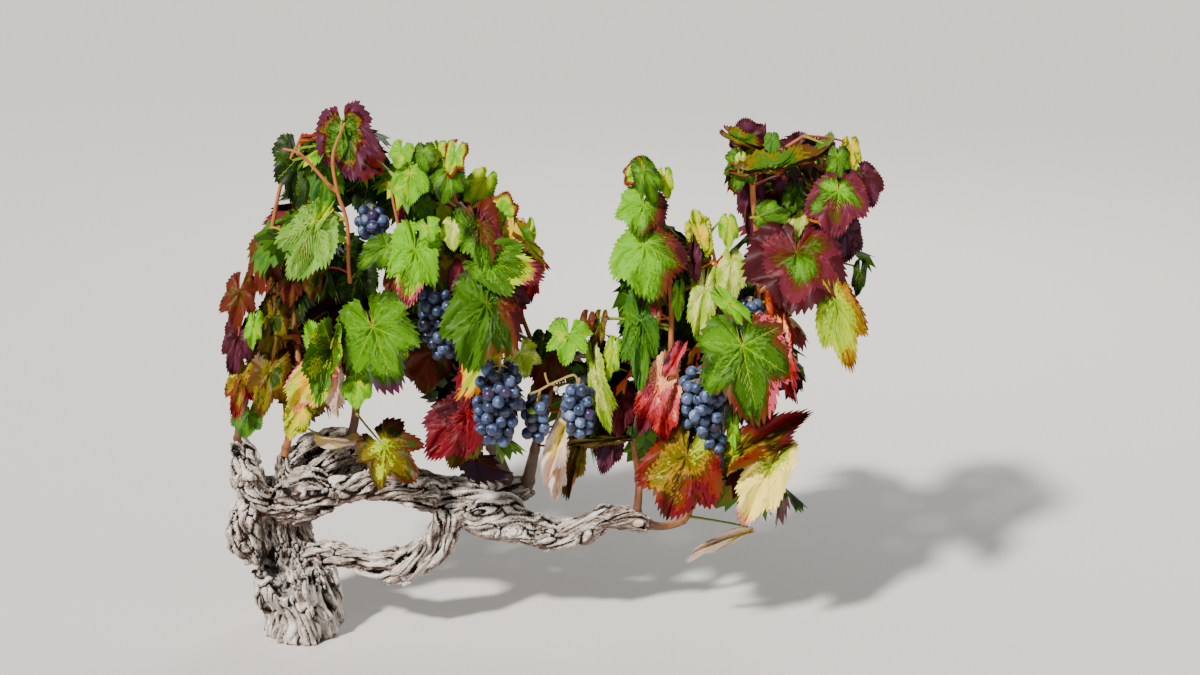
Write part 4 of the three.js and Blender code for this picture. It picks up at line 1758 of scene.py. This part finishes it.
BUNCHES = (
    Bunch((434, 288), (446, 357), 46, -58, 44, 0.35),
    Bunch((500, 362), (494, 441), 62, -78, 76, 0.55, 0.45),
    Bunch((540, 393), (534, 440), 34, -58, 17, 0.6),
    Bunch((579, 382), (580, 435), 38, -68, 32, 0.65),
    Bunch((703, 370), (702, 430), 56, -80, 56, 0.55),
    Bunch((709, 424), (711, 474), 38, -70, 30, 0.4),
    Bunch((751, 299), (750, 338), 28, -50, 18, 0.5),
    Bunch((764, 383), (763, 426), 24, -60, 16, 0.3),
    Bunch((372, 206), (372, 240), 34, -14, 20, 0.8),
)

STEMS = (
    (-66, (578, 384), (574, 375), (558, 381), (549, 385), (538, 391), (529, 394)),
    (-66, (549, 385), (546, 378), (545, 373)),
    (-60, (540, 391), (536, 402), (532, 408)),
    (-62, (552, 384), (555, 386)),
)
LONE_BERRIES = (((532, 412), -66, Tone.BERRY_UNRIPE, 0.8), ((556, 389), -64, Tone.DRY, 0.45))


@dataclass
class GrapeBunches:
    """Bunches of grapes on tan stalks, packed as they hang."""

    berries: MeshBuffer
    stalks: MeshBuffer
    berry: float = 14.2
    seed: int = 11
    rounds: int = 140
    purple: float = 0.07

    def build(self) -> None:
        """Add every bunch, the bare stems and the lone berries."""
        self.ball, self.ball_faces = self._ball()
        random = np.random.default_rng(self.seed)
        for bunch in BUNCHES:
            self._add(bunch, random)
        for depth, *pixels in STEMS:
            way = smooth_way([CAMERA.at(pixel, depth) for pixel in pixels], 4.0)
            self.stalks.add(*tube(way, 1.3, 5), Tone.STALK_TAN)
        for pixel, depth, tone, size in LONE_BERRIES:
            points = CAMERA.at(pixel, depth) + self.ball * self.berry / 2 * size
            self.berries.add(points, self.ball_faces, tone)

    @staticmethod
    def _ball() -> tuple[Array, Array]:
        """Make a small round form.

        Returns:
            Its points and triangles.
        """
        bpy.ops.object.select_all(action="DESELECT")
        bpy.ops.mesh.primitive_ico_sphere_add(subdivisions=2, radius=1.0)
        ball = bpy.context.view_layer.objects.active
        points = np.array([v.co[:] for v in ball.data.vertices])
        faces = np.array([f.vertices[:] for f in ball.data.polygons])
        bpy.data.objects.remove(ball)
        return points, faces

    def _packed(self, bunch: Bunch, random: np.random.Generator) -> tuple[Array, Array, Array]:
        """Pack a bunch's berries round its stalk.

        Args:
            bunch: the bunch.
            random: draws their first places.

        Returns:
            The stalk's top and bottom, and the berries' middles.
        """
        top = CAMERA.at(bunch.top, bunch.depth)
        bottom = CAMERA.at(bunch.bottom, bunch.depth + 6)
        half = self.berry / 2
        scale = float(np.linalg.norm(bottom - top)) / math.dist(bunch.top, bunch.bottom)
        wide = bunch.width * scale / 2 - half
        tall = float(np.linalg.norm(bottom - top)) - self.berry
        down = unit(bottom - top)
        start = top + down * half
        side = unit(np.cross(down, UP + np.array([0.3, 0.1, 0])))
        across = np.cross(down, side)
        t = random.uniform(0, 1, bunch.berries)
        turn = random.uniform(0, 2 * math.pi, bunch.berries)
        out = random.uniform(0.5, 1, bunch.berries)
        local = np.column_stack([out * np.cos(turn), out * np.sin(turn), t])
        places = np.column_stack([local[:, 0] * wide, local[:, 1] * wide, local[:, 2] * tall])
        for _ in range(self.rounds):
            gap = places[:, None] - places[None]
            far = np.linalg.norm(gap, axis=2) + np.eye(len(places)) * 1e3
            overlap = np.clip(self.berry * 0.93 - far, 0, None)
            places = places + np.sum(gap / far[..., None] * overlap[..., None] * 0.35, axis=1)
            t = np.clip(places[:, 2] / tall, 0, 1)
            shoulder = 0.62 + 0.38 * np.sin(t / bunch.wide_at * math.pi / 2)
            point = np.sqrt(np.clip(1 - ((t - bunch.wide_at) / (1.12 - bunch.wide_at)) ** 2, 0, 1))
            room = wide * np.where(t < bunch.wide_at, shoulder, point)
            reach = np.hypot(places[:, 0], places[:, 1]) + 1e-6
            hold = np.minimum(1.0, 0.35 + 0.65 * room / reach) * (room < reach) + (room >= reach)
            places[:, :2] *= (hold * 0.997)[:, None]
            places[:, 2] = np.clip(places[:, 2], 0, tall)
        world = start + places[:, :1] * side + places[:, 1:2] * across + places[:, 2:] * down
        return start, start + down * tall * 0.9, world

    def _add(self, bunch: Bunch, random: np.random.Generator) -> None:
        """Add one bunch.

        Args:
            bunch: the bunch.
            random: draws its berries' places, sizes and tones.
        """
        start, end, places = self._packed(bunch, random)
        hook = start - (end - start) * 0.12 + UP * 6
        way = smooth_way([hook, start, (start + end) / 2 + (1, 2, 0), end], 8.0)
        self.stalks.add(*tube(way, np.linspace(1.7, 0.9, len(way)), 5), Tone.STALK_TAN)
        # Painted highlight and shade on each berry: faces turned to the upper left and front get the paler
        # tones, and faces turned away get the near-black one. Bloom and rubbed patches come on top.
        light = unit(np.array([-0.4, -0.5, 0.8]))
        for place in places:
            size = self.berry / 2 * random.uniform(0.9, 1.06)
            nearest = int(np.argmin(np.linalg.norm(way - place, axis=1)))
            root = way[nearest] * 0.7 + way[max(0, nearest - 1)] * 0.3
            end = place - unit(place - root) * size * 0.9
            self.stalks.add(*tube(bend(root, end, (root + place) / 2 + UP * 2, 3), 0.7, 3), Tone.STALK_TAN)
            points = self.ball * size * np.array([1, 1, random.uniform(1.0, 1.1)])
            middles = self.ball[self.ball_faces].mean(axis=1)
            painted_light_side = unit(middles) @ light
            rub = np.sin(middles @ random.normal(0, 2.2, 3) + random.uniform(0, 6))
            level = bunch.dusty * 1.9 + 0.1 + painted_light_side * 1.0 + rub * 0.5 + random.normal(0, 0.5)
            names = "BERRY_NIGHT BERRY_BLUE BERRY_DUSTY BERRY_BLOOM"
            if random.uniform() < self.purple:
                names = "BERRY_NIGHT BERRY_PURPLE BERRY_PURPLE BERRY_DUSTY"
            tones = tone_numbers(names)[np.clip(level.astype(int), 0, 3)]
            self.berries.add(place + points, self.ball_faces, tones)


@dataclass
class Crown:
    """All leaves with their stalks, and the shoots that carry them."""

    seed: int = 5
    middle: float = 500.0
    internode: float = 46.0
    cane_sides: int = 10
    young: float = 2.6
    aging: float = 4.0
    tries: int = 30
    keep_open: Way = ((576, 236, 34, 96), (500, 120, 60, 40), (690, 130, 34, 30), (396, 428, 30, 34),
                      (838, 396, 22, 30))

    def build(self) -> None:
        """Grow the shoots, then hang the shown leaves and the filling leaves on them."""
        self.random = np.random.default_rng(self.seed)
        self.left, self.right, self.fill = MeshBuffer(), MeshBuffer(), MeshBuffer()
        self.front_ribs, self.ribs, self.stalks = MeshBuffer(), MeshBuffer(), MeshBuffer()
        self.ways = [smooth_way(shoot.way, 6.0) for shoot in SHOOTS]
        self.nodes = np.vstack([way[8:] for way in self.ways])
        for number, leaf in enumerate(SHOWN_LEAVES):
            self._show(number, leaf)
        for mass in MASSES:
            self._fill(mass)

    def _show(self, number: int, leaf: Leaf) -> None:
        """Add one leaf that the photograph shows.

        Args:
            number: its place among them, which seeds its own differences.
            leaf: the leaf.
        """
        seat, width = leaf.seat()
        form = LeafForm(1000 + number, Looks[leaf.look].value, HERO if leaf.hero else FINE, width,
                        leaf.fold, leaf.cup + 0.1, leaf.droop, 0.075, self.random.uniform(-0.15, 0.15),
                        leaf.lobes, leaf.back)
        blades = self.left if leaf.heart[0] < self.middle else self.right
        form.build(blades, self.front_ribs, seat)
        self._stalk(seat)

    def _stalk(self, seat: Seat) -> None:
        """Join a leaf to the nearest shoot by its own stalk.

        Args:
            seat: where the leaf sits.
        """
        heart, axes = seat.heart, seat.axes
        offset = self.nodes[:, :3] - heart
        cost = np.linalg.norm(offset, axis=1) + np.clip(offset[:, 2], 0, None) * 0.7
        root = self.nodes[np.argmin(cost)]
        lead = heart - axes[1] * min(seat.length * 0.5, 28) - axes[2] * 6
        way = bend(root[:3], heart - axes[2] * 0.5, lead, 9)
        tone = self.random.choice([Tone.STALK_GREEN, Tone.STALK_ORANGE, Tone.STALK_RED, Tone.STALK_GREEN])
        radii = np.linspace(1.5, 1.0, len(way))
        radii[0] = 2.2
        self.stalks.add(*tube(way, radii, 5), tone)

    def _hidden(self, heart: Array, reach: float) -> bool:
        """Say whether a filling leaf would cover a shown leaf, a bunch or a place that stays open.

        Args:
            heart: the filling leaf's heart.
            reach: how far it reaches.

        Returns:
            True if it would.
        """
        pixel = CAMERA.seen(heart)[0]
        size = reach * 0.82
        for left, top, wide, tall in self.keep_open:
            if ((pixel[0] - left) / (wide + size)) ** 2 + ((pixel[1] - top) / (tall + size)) ** 2 < 1:
                return True
        for leaf in SHOWN_LEAVES:
            near = math.dist(pixel, (np.array(leaf.heart) + leaf.tip) / 2)
            if heart[1] < leaf.depth + 14 and near < leaf.width * 0.4 + size * 0.75:
                return True
        for bunch in BUNCHES:
            near = math.dist(pixel, (np.array(bunch.top) + bunch.bottom) / 2)
            if heart[1] < bunch.depth + 24 and near < bunch.width / 2 + size * 0.8 + 8:
                return True
        return False

    def _fill(self, mass: Mass) -> None:
        """Fill one mass with leaves that face outward and up.

        Args:
            mass: the mass.
        """
        low, high = (np.array(corner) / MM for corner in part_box(mass.node))
        middle, half = (low + high) / 2, (high - low) / 2
        back = "back" in mass.node
        looks = mass.looks.split()
        made = 0
        for _ in range(mass.leaves * self.tries):
            if made >= mass.leaves:
                break
            way = unit(self.random.normal(0, 1, 3))
            if way[1] < 0 and not back and self.random.uniform() < 0.5:
                continue
            length = self.random.uniform(34, 62)
            heart = middle + way * (half - length * 0.42) * self.random.uniform(0.45, 1.0)
            if self._hidden(heart, length * 0.85):
                continue
            facing = unit(way * (1, 1.2, 0.5) + UP * 0.55 + self.random.normal(0, 0.25, 3))
            drop = unit(np.array([way[0] * 0.6, way[1] * 0.6, -0.7]) + self.random.normal(0, 0.35, 3))
            forward = unit(drop - facing * (drop @ facing))
            seat = Seat(heart, np.array([np.cross(forward, facing), forward, facing]), length)
            look = Looks[looks[int(self.random.integers(len(looks)))]].value
            form = LeafForm(int(self.random.integers(1 << 30)), look, MEDIUM if back else COARSE, 0.0,
                            self.random.uniform(0.05, 0.4), self.random.uniform(0.15, 0.6),
                            self.random.uniform(0.1, 0.7), 0.07, self.random.uniform(-0.3, 0.3))
            form.build(self.fill, self.ribs, seat)
            self._stalk(seat)
            made += 1
        LOG.info("%s: %d filling leaves", mass.node, made)

    def add_shoots(self, canes: MeshBuffer) -> dict[str, Array]:
        """Add the shoots as knotted tubes.

        Args:
            canes: takes the tubes.

        Returns:
            What the finish reads at each point: its place along and across the cane, age and joints.
        """
        grain, ages, joints = [], [], []
        sides = self.cane_sides
        turn = np.arange(sides) * 2 * math.pi / sides
        for way in self.ways:
            run = run_along(way[:, :3])
            joint = np.exp(-((np.abs((run / self.internode + 0.3) % 1.0 - 0.5) / 0.06) ** 2))
            canes.add(*tube(way[:, :3], way[:, 3] * (1 + 0.32 * joint), sides), Tone.SHOOT_BROWN)
            turns, radius = np.tile(turn, len(way)), np.repeat(way[:, 3], sides)
            place = np.column_stack([np.repeat(run, sides), radius * np.cos(turns), radius * np.sin(turns)])
            ends = np.array([[0.0, 0, 0], [run[-1], 0, 0]])
            grain.append(np.vstack([place + len(grain) * 20.0, ends]))
            age = np.clip((way[:, 3] - self.young) / self.aging, 0, 1)
            ages.append(np.concatenate([np.repeat(age, sides), age[[0, -1]]]))
            joints.append(np.concatenate([np.repeat(joint, sides), joint[[0, -1]]]))
        return {"grain": np.vstack(grain) * MM, "age": np.concatenate(ages), "joint": np.concatenate(joints)}


class Studio:
    """A plain pale floor under plain soft light."""

    def build(self) -> None:
        """Add the floor, the lights and the pale surroundings."""
        bpy.ops.object.select_all(action="DESELECT")
        bpy.ops.mesh.primitive_plane_add(size=30.0, location=(0.3, 1.0, -0.0005))
        floor = bpy.context.view_layer.objects.active
        floor.name = "floor"
        finish = Finish("floor_paper")
        finish.constants(Base_Color=(0.74, 0.72, 0.69, 1), Roughness=0.9)
        floor.data.materials.append(finish.material)
        world = bpy.data.worlds.new("surroundings")
        world.use_nodes = True
        world.node_tree.nodes["Background"].inputs[0].default_value = (0.86, 0.88, 0.92, 1)
        world.node_tree.nodes["Background"].inputs[1].default_value = 0.25
        bpy.context.scene.world = world
        key = bpy.data.lights.new("key", "SUN")
        key.angle = math.radians(5.0)
        self._hang(key, (-0.9, -1.5, 2.2), 6.0, (1.0, 0.96, 0.9))
        for name, size, place, power, colour in (
            ("fill", 1.6, (1.8, -1.4, 1.2), 7, (0.92, 0.95, 1.0)),
            ("rim", 1.0, (0.9, 1.8, 1.8), 24, (1.0, 0.97, 0.92)),
        ):
            light = bpy.data.lights.new(name, "AREA")
            light.size = size
            self._hang(light, place, power, colour)

    @staticmethod
    def _hang(light: bpy.types.Light, place: Triple, power: float, colour: Triple) -> None:
        """Hang a light, turned to the vine's middle.

        Args:
            light: the light.
            place: where it hangs.
            power: how strong it is.
            colour: its linear colour.
        """
        light.energy = power
        light.color = colour
        holder = bpy.data.objects.new(light.name, light)
        holder.location = place
        aim = Vector((0.3, 0.0, 0.28)) - Vector(place)
        holder.rotation_euler = aim.to_track_quat("-Z", "Y").to_euler()
        bpy.context.collection.objects.link(holder)


def main() -> None:
    """Build the vine piece by piece."""
    logging.basicConfig(level=logging.INFO, format="%(name)s %(message)s", stream=sys.stdout)
    CAMERA.build()
    Studio().build()
    for wood in (
        OldWood("old_trunk", ("trunk", "split_collar", "left_head", "left_arm", "left_knob", "head_spur",
                              "back_head"), 46),
        OldWood("old_arms", ("upper_arm", "long_arm", "arm_end", "back_arm", "loop_bend", "loop_low",
                             "fruit_spur")),
    ):
        piece = wood.build()
        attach(piece, "root")
        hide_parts(*wood.limbs)
    crown = Crown()
    crown.build()
    canes = MeshBuffer()
    marks = crown.add_shoots(canes)
    berries = MeshBuffer()
    GrapeBunches(berries, crown.stalks).build()
    masses = [mass.node for mass in MASSES]
    for name, buffer, slot, nodes in (
        ("front_leaves_left", crown.left, "leaves", masses),
        ("front_leaves_right", crown.right, "leaves", masses),
        ("inner_leaves", crown.fill, "leaves", masses),
        ("front_leaf_veins", crown.front_ribs, "leaves", ()),
        ("inner_leaf_veins", crown.ribs, "leaves", ()),
        ("leaf_stalks", crown.stalks, "cane", ()),
        ("grapes", berries, "leaves", ()),
        ("canes", canes, "cane", sorted({shoot.name for shoot in SHOOTS})),
    ):
        piece = buffer.build(name)
        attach(piece, "root")
        if nodes:
            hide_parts(*nodes)
        if name == "canes":
            wear(piece, CaneFinish().build(), marks)


if __name__ == "__main__":
    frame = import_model()
    main()
